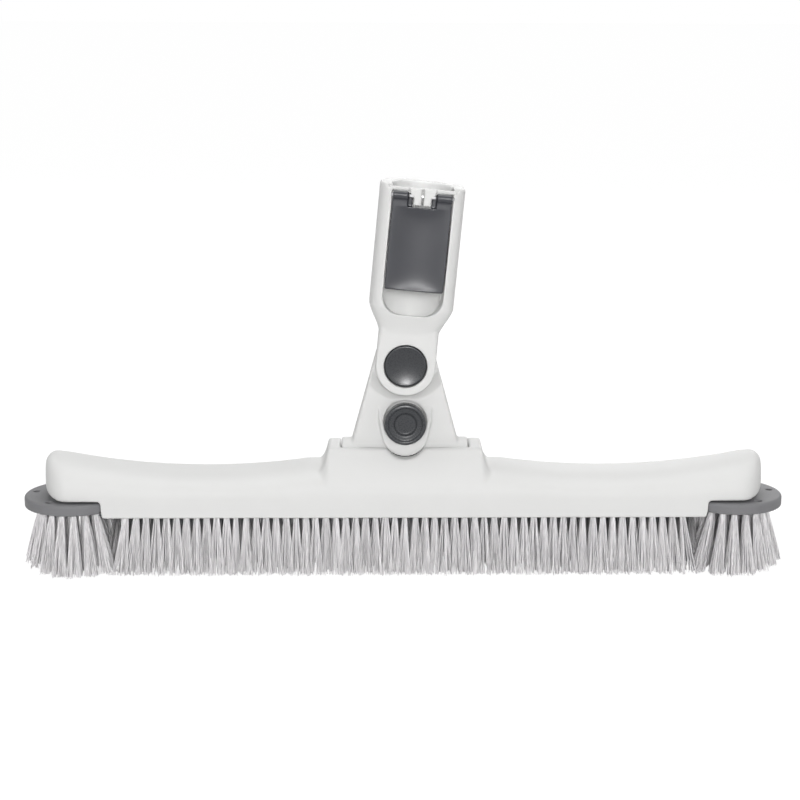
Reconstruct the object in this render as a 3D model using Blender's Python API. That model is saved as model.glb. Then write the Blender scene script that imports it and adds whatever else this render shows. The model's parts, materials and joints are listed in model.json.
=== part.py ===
"""Pool wall brush: a bristled head, a neck that tilts on it, and a pole socket that swivels on the neck.

X runs along the head, Y to the back and Z up. The bristle tips stand on Z = 0. All sizes are metres.
"""

import math

import bmesh
import bpy
from mathutils import Matrix, Vector

for old in list(bpy.data.objects):
    bpy.data.objects.remove(old, do_unlink=True)

# Clearances
FIT = 0.0003  # between pieces that are fastened together
RUN = 0.0004  # beside a piece that turns or slides

# Bristles
BRISTLE_LENGTH = 0.0361
BACKING = 0.0020
TUFT_PITCH = 0.00585
ROW_PITCH = 0.0090
TUFT_ROOT = 0.0033
TUFT_TIP = 0.0050
FIELD_MARGIN = 0.0015  # from the last tuft to the edge of its backing

# Head shell
HEAD_LENGTH = 0.4264
HEAD_DEPTH = 0.0500
WALL = 0.0030
SKIRT_HEIGHT = 0.0110
BODY_HEIGHT = 0.0232  # skirt's bottom to the lowest point of the crest
CREST_RISE = 0.0106  # crest at the ends above its lowest point
DIP_FROM_CENTRE = 0.1180
END_ROUND = 0.0130
END_TOP_ROUND = 0.0055
END_LOW_ROUND = 0.0045

# Bristle plate and its screws
PLATE_THICKNESS = 0.0050
SCREW_RADIUS = 0.0015
SCREW_HEAD_RADIUS = 0.0024
SCREW_HEAD_HEIGHT = 0.0016
SCREW_REACH = 0.0120  # shank above the seat of the head
SCREW_SHARES = (-0.76, -0.24, 0.24, 0.76)  # places of the screws along the field
SCREW_BOSS_WALL = 0.0020

# End bumpers
BUMPER_RADIUS = 0.0300
BUMPER_SET_IN = 0.0168  # centre, in from the shell's end
BUMPER_FLAT = 0.0182  # centre to the flat side
BUMPER_THICKNESS = 0.0060
BUMPER_ROUND = 0.0015
DRAIN_RADIUS = 0.0018
DRAIN_CIRCLE = 0.0245
DRAIN_ANGLES = (20, -36)
FAN_SPREAD = 0.0055  # how far the outer tips stand out beyond their roots
FAN_RIM = 0.0060  # bumper's edge to the outer ring of tufts
FAN_MARGIN = 0.0025  # bumper's edge to the edge of the tufts' backing
FAN_RINGS = 3
FAN_RING_STEP = 0.0075
FAN_PITCH = 0.0066
BUMPER_SCREW_OFFSET = 0.0090

# Tilt hinge between the head and the neck
HINGE_RISE = 0.0332  # above the skirt's bottom
BARREL_RADIUS = 0.0090
BARREL_LENGTH = 0.0748
PIN_RADIUS = 0.0025
EAR_WIDTH = 0.0076
EAR_RISE = 0.0055  # block's top above the hinge axis
BLOCK_LIP = 0.0150  # half the depth of the block's top
BLOCK_FLARE = 0.0120  # how far each side of the block runs out into the head
LIP_ROUND = 0.0030
TILT_BACK = 60.0
DRUM_WIDTH = 0.0142
NOTCH_DEPTH = 0.0012
NOTCH_STEP = 15.0
KEY_WIDTH = 0.0080
KEY_DEPTH = 0.0015

# Neck link
PIVOT_RISE = 0.0545  # swivel axis above the hinge axis
TONGUE_RADIUS = 0.0180
NECK_TAPER = 15.2
NECK_FRONT = 0.0065
NECK_ROUND = 0.0025
REAR_ROUND = 0.0008
SPLIT = 0.0010  # plane where the neck's tongue meets the handle, in front of the hinge axis
COVER_WIDTH = 0.0300
COVER_HEIGHT = 0.0280
COVER_THICKNESS = 0.0021
COVER_FROM_HINGE = 0.0115
CAVITY_WIDTH = 0.0160
CAVITY_FLOOR = 0.0022
COVER_SCREW_INSET = 0.0033
COVER_SCREW_RADIUS = 0.0011
COVER_SCREW_HEAD = 0.0019
COVER_SCREW_SUNK = 0.0012
COVER_SCREW_REACH = 0.0070

# Buttons
BUTTON_RADIUS = 0.0123
TILT_BUTTON_RISE = 0.0202  # above the hinge axis
TILT_TRAVEL = 0.0030
PAD_HALF = 0.0156
PAD_DROP = 0.0205  # pad's bottom below the button's middle
PAD_HEIGHT = 0.0150  # pad's top above it
PAD_CORNER = 0.0120
PAD_FRONT = 0.0105
PAD_SLOPE = 0.0022
TILT_BUTTON_FRONT = 0.0165
TILT_BORE_FLOOR = 0.0052
STEM_WIDTH = 0.0060
STEM_HEIGHT = 0.0060
STEM_TIP = 0.0010
DISH_RADIUS = 0.0062
DISH_DEPTH = 0.0024
DISH_STEP = 0.0010
BOLT_THICKNESS = 0.0040
BOLT_WIDTH = 0.0104
BOLT_TIP = 0.0014
BOLT_BRIDGE = 0.0040  # above the stem
SWIVEL_TRAVEL = 0.0030
SWIVEL_BUTTON_SUNK = 0.0008
SWIVEL_CAP = 0.0030
CAP_ROUND = 0.0010
CAP_DISH = 0.0010

# Swivel joint
REST_LEAN = 5.3  # handle's lean to the right at rest
SWIVEL_EACH_WAY = 45.0
POST_RADIUS = 0.0034
GEAR_TIP = 0.0090
GEAR_ROOT = 0.0076
GEAR_TEETH = 12
GEAR_LENGTH = 0.0052
LOBE_FLOOR = 0.0024
PRONG_RADIUS = 0.0014
PRONG_CIRCLE = 0.0060
TONGUE_FLOOR = 0.0020
SWIVEL_BOSS_RADIUS = 0.0120
WASHER_RADIUS = 0.0066
WASHER_THICKNESS = 0.0010
SPRING_WIRE = 0.0008
SWIVEL_SPRING_RADIUS = 0.0054
SWIVEL_SPRING_TURNS = 3
SWIVEL_SPRING_LENGTH = 0.0060
TILT_SPRING_RADIUS = 0.0018
TILT_SPRING_TURNS = 4
TILT_SPRING_LENGTH = 0.0065

# Handle and pole socket, heights above the swivel axis
SLAB_HALF = 0.0174
LOBE_FRONT = 0.0135
LOBE_SLOPE = 0.0034
SHOULDER = 0.0190
SHOULDER_BACK = 0.0090
SLAB_LAP = 0.0060  # slab's length inside the socket
SOCKET_START = 0.0352
MOUTH = 0.1054
SOCKET_HALF = 0.0245
SOCKET_FRONT = 0.0200
POLE_BORE = 0.0328
SOCKET_FLOOR = 0.0260
WINDOW_WIDTH = 0.0350
WINDOW_FLOOR = 0.0309
WINDOW_CORNER = 0.0110
WINDOW_BACK = 0.0020
MOUTH_ROUND = 0.0012

# Pole lever
LEVER_GAP = 0.0006
LEVER_END = 0.0454
LEVER_PIN_DROP = 0.0058  # below the mouth
LEVER_PIN_RADIUS = 0.0010
LEVER_PIN_FRONT = 0.0190
PIN_IN_RAIL = 0.0025
LUG_RADIUS = 0.0024
LEVER_FRONT = 0.0196
LEVER_BACK = 0.0169
LEVER_NOTCH = 0.0082
LEVER_NOTCH_DROP = 0.0063
LEVER_DISH = 0.0013
LEVER_CORNER = 0.0035
DISH_SPREAD = 1.6  # width of the dish's ellipsoid over the lever's
FLANGE_WIDTH = 0.0014
FLANGE_BACK = 0.0100
PEG_RADIUS = 0.0032
PEG_TIP = 0.0124
PEG_HEIGHT = 0.0700
KNUCKLE_WIDTH = 0.0044
KNUCKLE_SLIT = 0.0010
KNUCKLE_FRONT = 0.0026
KNUCKLE_DROP = 0.0050
KNUCKLE_ROUND = 0.0020
BAR_THICKNESS = 0.0022

# Levels that follow from the sizes above
HALF_LENGTH = HEAD_LENGTH / 2
HALF_DEPTH = HEAD_DEPTH / 2
BASE = BRISTLE_LENGTH
PLATE_LOW = BASE + BACKING + FIT
PLATE_TOP = PLATE_LOW + PLATE_THICKNESS
BUMPER_TOP = PLATE_LOW + BUMPER_THICKNESS
END_LOW = BUMPER_TOP + FIT
SKIRT_TOP = BASE + SKIRT_HEIGHT
BUMPER_X = HALF_LENGTH - BUMPER_SET_IN
NOTCH_X = BUMPER_X - BUMPER_FLAT - FIT
HINGE_Z = BASE + HINGE_RISE
EAR_INNER = BARREL_LENGTH / 2 + RUN
BLOCK_HALF = EAR_INNER + EAR_WIDTH
BLOCK_FOOT = BLOCK_HALF + BLOCK_FLARE
TROUGH = BARREL_RADIUS + RUN
CEILING_UNDER_BLOCK = HINGE_Z - TROUGH - KEY_DEPTH - WALL / 2
FIELD_HALF = NOTCH_X - WALL - FIT - FIELD_MARGIN
COLUMNS_EACH_WAY = int((FIELD_HALF - TUFT_ROOT / 2) / TUFT_PITCH)
ROWS_EACH_WAY = int((HALF_DEPTH - WALL - FIT - FIELD_MARGIN - TUFT_ROOT / 2) / ROW_PITCH)
SCREW_COLUMNS = [round(share * COLUMNS_EACH_WAY) for share in SCREW_SHARES]
WINDOW_HALF = WINDOW_WIDTH / 2
BORE_RADIUS = POLE_BORE / 2
LEVER_PIN_Z = MOUTH - LEVER_PIN_DROP
NECK_REAR = BARREL_RADIUS - 2 * FIT
COVER_SEAT = NECK_REAR - COVER_SCREW_SUNK
CAVITY_LOW = TROUGH + FIT + CAVITY_FLOOR
CAVITY_FRONT = max(BOLT_THICKNESS / 2, TILT_SPRING_RADIUS + SPRING_WIRE / 2) + RUN
BOLT_TOP = TILT_BUTTON_RISE + STEM_HEIGHT / 2 + BOLT_BRIDGE
CAVITY_TOP = BOLT_TOP + TILT_SPRING_LENGTH + 2 * FIT
SWIVEL_BORE_FLOOR = -LOBE_FRONT + SWIVEL_BUTTON_SUNK + SWIVEL_CAP + SWIVEL_TRAVEL + FIT
GEAR_FRONT = SWIVEL_BORE_FLOOR + LOBE_FLOOR + FIT
POCKET_FLOOR = GEAR_FRONT + GEAR_LENGTH + SWIVEL_SPRING_LENGTH + 2 * FIT
WASHER_SEAT = POCKET_FLOOR + TONGUE_FLOOR + WASHER_THICKNESS + 2 * FIT
SWIVEL_REAR = WASHER_SEAT + SCREW_HEAD_HEIGHT + 2 * FIT

WHITE = ((0.76, 0.76, 0.74), 0.45, 0.0)
DARK_GREY = ((0.075, 0.077, 0.085), 0.42, 0.0)
MID_GREY = ((0.24, 0.24, 0.245), 0.60, 0.0)
PALE_GREY = ((0.66, 0.65, 0.65), 0.70, 0.0)
STEEL = ((0.62, 0.62, 0.63), 0.30, 1.0)


def empty(name, location, parent=None, turn=(0.0, 0.0, 0.0)):
    """A joint axis that the moving pieces are parented to."""
    axis = bpy.data.objects.new(name, None)
    axis.location = location
    axis.rotation_euler = turn
    axis.parent = parent
    bpy.context.collection.objects.link(axis)
    return axis


def piece(name, bm, finish, parent=None):
    """Close a bmesh into a named object with its own material."""
    bmesh.ops.remove_doubles(bm, verts=bm.verts, dist=1e-7)
    bmesh.ops.recalc_face_normals(bm, faces=bm.faces)
    mesh = bpy.data.meshes.new(name)
    bm.to_mesh(mesh)
    bm.free()
    mesh.shade_smooth()
    mesh.set_sharp_from_angle(angle=math.radians(30))
    body = bpy.data.objects.new(name, mesh)
    body.parent = parent
    bpy.context.collection.objects.link(body)
    dress(body, finish)
    return body


def dress(body, finish):
    """Give an object its own Principled material."""
    colour, roughness, metallic = finish
    material = bpy.data.materials.new(body.name)
    material.use_nodes = True
    shader = material.node_tree.nodes["Principled BSDF"]
    shader.inputs["Base Color"].default_value = (*colour, 1.0)
    shader.inputs["Roughness"].default_value = roughness
    shader.inputs["Metallic"].default_value = metallic
    body.data.materials.append(material)


def combine(body, operation, shapes):
    """Cut shapes from a body, or join them to it; the shapes stay as hidden guides."""
    for count, bm in enumerate(shapes):
        name = f"{body.name}_{operation.lower()}_{len(body.modifiers)}_{count}"
        guide = piece(name, bm, WHITE, body.parent)
        guide.hide_render = True
        guide.display_type = "WIRE"
        change = body.modifiers.new(operation.title(), "BOOLEAN")
        change.operation = operation
        change.solver = "EXACT"
        change.object = guide


def cut(body, *shapes):
    combine(body, "DIFFERENCE", shapes)


def join(body, *shapes):
    combine(body, "UNION", shapes)


def loft(loops):
    """Solid through a row of loops with the same number of points."""
    bm = bmesh.new()
    rings = [[bm.verts.new(point) for point in loop] for loop in loops]
    for first, second in zip(rings, rings[1:]):
        for k in range(len(first)):
            after = (k + 1) % len(first)
            bm.faces.new((first[k], first[after], second[after], second[k]))
    bm.faces.new(rings[0][::-1])
    bm.faces.new(rings[-1])
    return bm


def spot(axis, a, b, level):
    """Point of a flat outline, set at a level along an axis."""
    return {"X": (level, a, b), "Y": (a, level, b), "Z": (a, b, level)}[axis]


def prism(outline, low, high, axis):
    """Straight solid on an outline."""
    return loft([[spot(axis, a, b, level) for a, b in outline] for level in (low, high)])


def slab(outline, low, high, axis, low_round=0.0, high_round=0.0, steps=2):
    """Straight solid with the rims of its two faces rounded."""
    bm = prism(outline, low, high, axis)
    index = "XYZ".index(axis)
    for level, radius in ((low, low_round), (high, high_round)):
        if radius > 0:
            rim = [e for e in bm.edges if all(abs(v.co[index] - level) < 1e-7 for v in e.verts)]
            bmesh.ops.bevel(bm, geom=rim, offset=radius, segments=steps, profile=0.5, affect="EDGES")
    return bm


def turned(profile, sides, axis="Z", centre=(0.0, 0.0), ring=False):
    """Solid of revolution from (radius, level) points, with flat ends; a ring's profile closes on itself."""
    bm = bmesh.new()
    verts = [bm.verts.new((radius, 0.0, level)) for radius, level in profile]
    pairs = list(zip(verts, verts[1:]))
    if ring:
        pairs.append((verts[-1], verts[0]))
    edges = [bm.edges.new(pair) for pair in pairs]
    bmesh.ops.spin(bm, geom=verts + edges, axis=(0, 0, 1), cent=(0, 0, 0), angle=math.tau, steps=sides)
    bmesh.ops.remove_doubles(bm, verts=bm.verts, dist=1e-7)
    bmesh.ops.holes_fill(bm, edges=[e for e in bm.edges if e.is_boundary])
    quarter = math.pi / 2
    lean = {"X": Matrix.Rotation(quarter, 4, "Y"), "Y": Matrix.Rotation(-quarter, 4, "X"), "Z": Matrix()}
    shift = Matrix.Translation(spot(axis, centre[0], centre[1], 0.0))
    bmesh.ops.transform(bm, matrix=shift @ lean[axis], verts=bm.verts)
    return bm


def rod(radius, low, high, axis, centre=(0.0, 0.0), sides=24):
    """Plain round bar, also used as a drill."""
    return prism(arc(centre, radius, 0, 360 - 360 / sides, sides - 1), low, high, axis)


def block(low, high):
    """Box between two corners."""
    outline = [(low[0], low[1]), (high[0], low[1]), (high[0], high[1]), (low[0], high[1])]
    return prism(outline, low[2], high[2], "Z")


def arc(centre, radius, start, end, steps):
    """Points on a round stretch of an outline, angles in degrees."""
    angles = [math.radians(start + (end - start) * k / steps) for k in range(steps + 1)]
    return [(centre[0] + radius * math.cos(a), centre[1] + radius * math.sin(a)) for a in angles]


def step_drill(head_radius, mouth, seat, shank_radius, end, axis, centre):
    """Drill for a screw: room for its head from the mouth to the seat, and for its shank beyond."""
    profile = [(head_radius, mouth), (head_radius, seat), (shank_radius, seat), (shank_radius, end)]
    return turned(profile, 12, axis, centre)


def screw(name, head_radius, head_height, shank_radius, reach, matrix, parent=None):
    """Pan-head screw; its head's seat is at the origin, its shank points along +Z."""
    profile = [
        (head_radius * 0.7, -head_height),
        (head_radius, -head_height * 0.5),
        (head_radius, 0.0),
        (shank_radius, 0.0),
        (shank_radius, reach - shank_radius),
        (shank_radius * 0.3, reach),
    ]
    bm = turned(profile, 10)
    bmesh.ops.transform(bm, matrix=matrix, verts=bm.verts)
    return piece(name, bm, STEEL, parent)


def spring(name, radius, low, high, turns, axis_matrix, parent):
    """Helical wire with flat-cut ends, and the least gap between its turns."""
    curve = bpy.data.curves.new(name, "CURVE")
    curve.dimensions = "3D"
    curve.bevel_depth = SPRING_WIRE / 2
    curve.bevel_resolution = 1
    curve.use_fill_caps = True
    steps = 10 * turns
    points = []
    for k in range(steps + 1):
        angle = math.tau * turns * k / steps
        level = low + SPRING_WIRE / 2 + (high - low - SPRING_WIRE) * k / steps
        points.append(axis_matrix @ Vector((radius * math.cos(angle), radius * math.sin(angle), level)))
    path = curve.splines.new("POLY")
    path.points.add(steps)
    for point, place in zip(path.points, points):
        point.co = (*place, 1.0)
    wire = bpy.data.objects.new(name, curve)
    wire.parent = parent
    bpy.context.collection.objects.link(wire)
    dress(wire, STEEL)
    apart = [
        (points[a] - points[b]).length
        for a in range(steps + 1)
        for b in range(a + 6, steps + 1)
    ]
    print(f"{name}: least gap between turns {(min(apart) - SPRING_WIRE) * 1000:.2f} mm")
    return wire


def tufted_slice(name, outline, holes, tufts):
    """Slice of backing with a four-sided splayed tuft on each root; tips end flat on Z = 0."""
    bm = bmesh.new()

    def loop(points, level):
        verts = [bm.verts.new((x, y, level)) for x, y in points]
        return verts, [bm.edges.new((verts[k], verts[(k + 1) % len(verts)])) for k in range(len(verts))]

    def walls(first, second):
        for k in range(len(first)):
            after = (k + 1) % len(first)
            bm.faces.new((first[k], first[after], second[after], second[k]))

    under, over = [], []
    for points in [outline] + holes:
        low, low_edges = loop(points, BASE)
        high, high_edges = loop(points, BASE + BACKING)
        walls(low, high)
        under += low_edges
        over += high_edges
    for root, tip in tufts:
        low, low_edges = loop(root, BASE)
        end, _ = loop(tip, 0.0)
        walls(low, end)
        bm.faces.new(end)
        under += low_edges
    bmesh.ops.triangle_fill(bm, edges=under, use_beauty=True, normal=(0, 0, 1))
    bmesh.ops.triangle_fill(bm, edges=over, use_beauty=True, normal=(0, 0, 1))
    return piece(name, bm, PALE_GREY)


def square(centre, half, turn=0.0):
    """Four corners of a tuft's section."""
    return arc(centre, half * math.sqrt(2), 45 + turn, 45 + turn + 270, 3)


def crest(x):
    """Height of the head's ridge along its length."""
    away = (max(abs(x), BLOCK_FOOT) - DIP_FROM_CENTRE) / (HALF_LENGTH - DIP_FROM_CENTRE)
    return BASE + BODY_HEIGHT + CREST_RISE * away**2


def dome(x, half, low, shoulder, top, steps=10):
    """Section of the head: straight skirt walls and a full, flattened dome."""
    points = [(x, -half, low)]
    for k in range(steps + 1):
        angle = math.pi * k / steps
        across = math.copysign(abs(math.cos(angle)) ** 0.75, -math.cos(angle))
        points.append((x, half * across, shoulder + (top - shoulder) * math.sin(angle) ** 0.9))
    points.append((x, half, low))
    return points


def head_sections():
    """Sections of the shell's outside, from its middle to one end, then mirrored."""
    spans = 7
    stations = [(BLOCK_FOOT + (NOTCH_X - BLOCK_FOOT) * k / spans, BASE, 1.0) for k in range(spans + 1)]
    stations.append((NOTCH_X + FIT, END_LOW, 1.0))
    stations.append(((NOTCH_X + HALF_LENGTH - END_ROUND) / 2, END_LOW, 1.0))
    rounds = 5
    for k in range(rounds + 1):
        angle = math.pi / 2 * k / rounds
        stations.append((HALF_LENGTH - END_ROUND * (1 - math.sin(angle)), END_LOW, math.cos(angle)))
    sections = []
    for x, low, full in stations:
        loss = 1 - full
        half = HALF_DEPTH - END_ROUND * loss
        top = crest(x) - END_TOP_ROUND * loss
        lift = END_LOW_ROUND * loss
        sections.append((x, half, low + lift, SKIRT_TOP + lift, top))
    mirrored = [(-s[0], *s[1:]) for s in reversed(sections)]
    return mirrored + sections


def hinge_block():
    """Raised block on the head, with sides that run out into the ridge in a hollow curve."""
    foot = SKIRT_TOP - FIT
    inset = HALF_DEPTH - FIT
    steps = 5
    sides = []
    for k in range(steps + 1):
        out = (k / steps) ** 1.5
        sides.append((BLOCK_HALF + BLOCK_FLARE * out, 1 - (1 - out) ** 5))
    sunk = crest(BLOCK_FOOT) - LIP_ROUND
    loops = []
    for x, drop in [(-x, drop) for x, drop in reversed(sides)] + sides:
        top = HINGE_Z + EAR_RISE - (HINGE_Z + EAR_RISE - sunk) * drop
        front = arc((-BLOCK_LIP + LIP_ROUND, top - LIP_ROUND), LIP_ROUND, 160, 90, 3)
        back = [(-y, z) for y, z in reversed(front)]
        loops.append([(x, y, z) for y, z in [(-inset, foot)] + front + back + [(inset, foot)]])
    return loft(loops)


def trough():
    """Room for the neck's barrel, open at the back for the neck to lean into."""
    outline = arc((0.0, HINGE_Z), TROUGH, 180, 360 - TILT_BACK, 14)
    start, low = outline[-1]
    back = HALF_DEPTH + WALL
    sill = low + (back - start) * math.tan(math.radians(90 - TILT_BACK))
    top = max(HINGE_Z, sill) + 2 * TROUGH
    outline += [(back, sill), (back, top), (-TROUGH, top)]
    return prism(outline, -EAR_INNER, EAR_INNER, "X")


def pad_outline(grow=0.0):
    """Front view of the pad round the lower button: straight sides and a round bottom."""
    low = TILT_BUTTON_RISE - PAD_DROP - grow
    half = PAD_HALF + grow
    radius = PAD_CORNER + grow
    right = arc((half - radius, low + radius), radius, 270, 360, 6)
    left = [(-x, z) for x, z in reversed(right)]
    top = TILT_BUTTON_RISE + PAD_HEIGHT
    return right + [(half, top), (-half, top)] + left


def shave(bm, point, normal):
    """Slice off what lies beyond a plane and close the cut."""
    geometry = bm.verts[:] + bm.edges[:] + bm.faces[:]
    bmesh.ops.bisect_plane(bm, geom=geometry, plane_co=point, plane_no=normal, clear_outer=True)
    bmesh.ops.holes_fill(bm, edges=[e for e in bm.edges if e.is_boundary])
    return bm


def ceiling(x):
    """Underside of the head's roof."""
    roof = crest(x) - WALL
    return min(roof, CEILING_UNDER_BLOCK) if abs(x) <= BLOCK_FOOT else roof


def build_head():
    shell = piece("head_shell", loft([dome(*section) for section in head_sections()]), WHITE)
    join(shell, hinge_block())
    inner = NOTCH_X - WALL
    spans = 5
    outer = BLOCK_FOOT + WALL
    stations = [BLOCK_FOOT] + [outer + (inner - outer) * k / spans for k in range(spans + 1)]
    stations = [-x for x in reversed(stations)] + stations
    cavity = loft([dome(x, HALF_DEPTH - WALL, BASE - WALL, SKIRT_TOP, ceiling(x), 8) for x in stations])
    key_half = KEY_WIDTH / 2 + FIT
    key_seat = block(
        (-key_half, -key_half, HINGE_Z - TROUGH - KEY_DEPTH), (key_half, key_half, HINGE_Z)
    )
    pad_room = prism([(x, z + HINGE_Z) for x, z in pad_outline(2 * RUN)], -HEAD_DEPTH, 0.0, "Y")
    pin_hole = rod(PIN_RADIUS + FIT, -HALF_LENGTH, HALF_LENGTH, "X", (0.0, HINGE_Z))
    cut(shell, cavity, trough(), key_seat, pad_room, pin_hole)

    for column in SCREW_COLUMNS:
        x = column * TUFT_PITCH
        boss_radius = SCREW_RADIUS + FIT + SCREW_BOSS_WALL
        join(shell, rod(boss_radius, PLATE_TOP + FIT, ceiling(x) + WALL / 2, "Z", (x, 0.0), 16))
    pilots = [(column * TUFT_PITCH, 0.0, PLATE_TOP) for column in SCREW_COLUMNS]
    pilots += [(x, y, END_LOW - FIT) for x, y in bumper_screw_places()]
    for x, y, low in pilots:
        cut(shell, rod(SCREW_RADIUS + FIT, low, low + SCREW_REACH, "Z", (x, y), 12))
    return shell


def bumper_screw_places():
    return [(side * BUMPER_X, y * BUMPER_SCREW_OFFSET) for side in (-1, 1) for y in (-1, 1)]


def build_plate():
    half_x = NOTCH_X - WALL - FIT
    half_y = HALF_DEPTH - WALL - FIT
    body = block((-half_x, -half_y, PLATE_LOW), (half_x, half_y, PLATE_TOP))
    plate = piece("bristle_plate", body, DARK_GREY)
    for number, column in enumerate(SCREW_COLUMNS, 1):
        x = column * TUFT_PITCH
        seat = PLATE_LOW + SCREW_HEAD_HEIGHT
        drill = (SCREW_HEAD_RADIUS + FIT, PLATE_LOW - FIT, seat, SCREW_RADIUS + FIT, PLATE_TOP + FIT)
        cut(plate, step_drill(*drill, "Z", (x, 0.0)))
        drive = Matrix.Translation((x, 0.0, seat - FIT))
        screw(
            f"plate_screw_{number}", SCREW_HEAD_RADIUS, SCREW_HEAD_HEIGHT, SCREW_RADIUS, SCREW_REACH, drive
        )


def build_main_bristles():
    half_x = FIELD_HALF + FIELD_MARGIN
    half_y = HALF_DEPTH - WALL - FIT
    outline = [(-half_x, -half_y), (half_x, -half_y), (half_x, half_y), (-half_x, half_y)]
    access = SCREW_HEAD_RADIUS + FIT
    holes = [arc((column * TUFT_PITCH, 0.0), access, 0, 315, 7) for column in SCREW_COLUMNS]
    tufts = []
    for column in range(-COLUMNS_EACH_WAY, COLUMNS_EACH_WAY + 1):
        for row in range(-ROWS_EACH_WAY, ROWS_EACH_WAY + 1):
            if row == 0 and column in SCREW_COLUMNS:
                continue
            centre = (column * TUFT_PITCH, row * ROW_PITCH)
            tufts.append((square(centre, TUFT_ROOT / 2), square(centre, TUFT_TIP / 2)))
    tufted_slice("main_bristles", outline, holes, tufts)
    return len(tufts)


def bumper_outline(side, radius, flat):
    """Round disc with a flat side towards the middle of the head."""
    open_angle = math.degrees(math.acos(flat / radius))
    points = arc((0.0, 0.0), radius, -180 + open_angle, 180 - open_angle, 26)
    return [(side * (BUMPER_X + x), y) for x, y in points]


def build_end(side, name):
    outline = bumper_outline(side, BUMPER_RADIUS, BUMPER_FLAT)
    bumper = piece(
        f"end_bumper_{name}", slab(outline, PLATE_LOW, BUMPER_TOP, "Z", BUMPER_ROUND, BUMPER_ROUND), MID_GREY
    )
    for angle in DRAIN_ANGLES:
        x = side * (BUMPER_X + DRAIN_CIRCLE * math.cos(math.radians(angle)))
        y = DRAIN_CIRCLE * math.sin(math.radians(angle))
        cut(bumper, rod(DRAIN_RADIUS, PLATE_LOW - FIT, BUMPER_TOP + FIT, "Z", (x, y), 12))
    places = [place for place in bumper_screw_places() if place[0] * side > 0]
    seat = PLATE_LOW + SCREW_HEAD_HEIGHT
    for number, place in enumerate(places, 1):
        drill = (SCREW_HEAD_RADIUS + FIT, PLATE_LOW - FIT, seat, SCREW_RADIUS + FIT, BUMPER_TOP + FIT)
        cut(bumper, step_drill(*drill, "Z", place))
        drive = Matrix.Translation((*place, seat - FIT))
        screw(
            f"bumper_screw_{name}_{number}",
            SCREW_HEAD_RADIUS,
            SCREW_HEAD_HEIGHT,
            SCREW_RADIUS,
            SCREW_REACH,
            drive,
        )

    backing = bumper_outline(side, BUMPER_RADIUS - FAN_MARGIN, BUMPER_FLAT)
    access = SCREW_HEAD_RADIUS + FIT
    holes = [arc(place, access, 0, 315, 7) for place in places]
    tufts = []
    outer_ring = BUMPER_RADIUS - FAN_RIM
    lean = 1 + FAN_SPREAD / outer_ring
    for ring_number in range(FAN_RINGS):
        ring = outer_ring - ring_number * FAN_RING_STEP
        count = round(math.tau * ring / FAN_PITCH)
        for k in range(count):
            angle = 360 * k / count
            root = arc((0.0, 0.0), ring, angle, angle, 1)[0]
            to_screw = math.hypot(root[0], abs(root[1]) - BUMPER_SCREW_OFFSET)
            if to_screw < access + TUFT_ROOT or root[0] < TUFT_ROOT - BUMPER_FLAT:
                continue
            tip = (root[0] * lean, root[1] * lean)
            tufts.append(
                (
                    square((side * (BUMPER_X + root[0]), root[1]), TUFT_ROOT / 2, side * angle),
                    square((side * (BUMPER_X + tip[0]), tip[1]), TUFT_TIP / 2, side * angle),
                )
            )
    tufted_slice(f"end_bristles_{name}", backing, holes, tufts)
    return len(tufts)


def build_hinge():
    """Pin through the ears, and the notched drum of the tilt lock that is keyed to the head."""
    reach = BLOCK_HALF - FIT
    piece("tilt_hinge_pin", rod(PIN_RADIUS, -reach, reach, "X", (0.0, HINGE_Z), 20), STEEL)
    low = TROUGH - FIT
    tooth = BARREL_RADIUS - RUN
    points = arc((0.0, HINGE_Z), low, 190, 350, 12)
    steps = int(180 / NOTCH_STEP)
    for k in range(steps + 1):
        floor = [NOTCH_STEP * (k + share) for share in (-0.2, 0.2)]
        points += arc((0.0, HINGE_Z), tooth - NOTCH_DEPTH, *floor, 1)
        if k < steps:
            crown = [NOTCH_STEP * (k + share) for share in (0.35, 0.65)]
            points += arc((0.0, HINGE_Z), tooth, *crown, 1)
    drum = piece("index_drum", prism(points, -DRUM_WIDTH / 2, DRUM_WIDTH / 2, "X"), DARK_GREY)
    half = KEY_WIDTH / 2
    key_low = HINGE_Z - TROUGH - KEY_DEPTH + FIT
    join(drum, block((-half, -half, key_low), (half, half, HINGE_Z - BARREL_RADIUS / 2)))
    cut(drum, rod(PIN_RADIUS + FIT, -HALF_DEPTH, HALF_DEPTH, "X", (0.0, HINGE_Z), 20))


def neck_outline():
    """Front view of the neck: a round tongue on top of sides that spread towards the barrel."""
    lean = math.radians(NECK_TAPER)
    foot = TONGUE_RADIUS * math.cos(lean) + (PIVOT_RISE + TONGUE_RADIUS * math.sin(lean)) * math.tan(lean)
    top = arc((0.0, PIVOT_RISE), TONGUE_RADIUS, NECK_TAPER, 180 - NECK_TAPER, 16)
    return [(foot, 0.0)] + top + [(-foot, 0.0)]


def handle_sweep():
    """Room in the neck's front for the handle's round end at every swivel angle."""
    radius = SLAB_HALF + 2 * RUN
    points = arc((0.0, PIVOT_RISE), radius, 180 + SWIVEL_EACH_WAY, 360 - SWIVEL_EACH_WAY, 16)
    reach = 3 * SLAB_HALF
    x = points[-1][0] + reach * math.sin(math.radians(SWIVEL_EACH_WAY))
    z = points[-1][1] + reach * math.cos(math.radians(SWIVEL_EACH_WAY))
    points += [(x, z), (-x, z)]
    return prism(points, -LOBE_FRONT - SOCKET_FRONT, -SPLIT, "Y")


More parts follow.
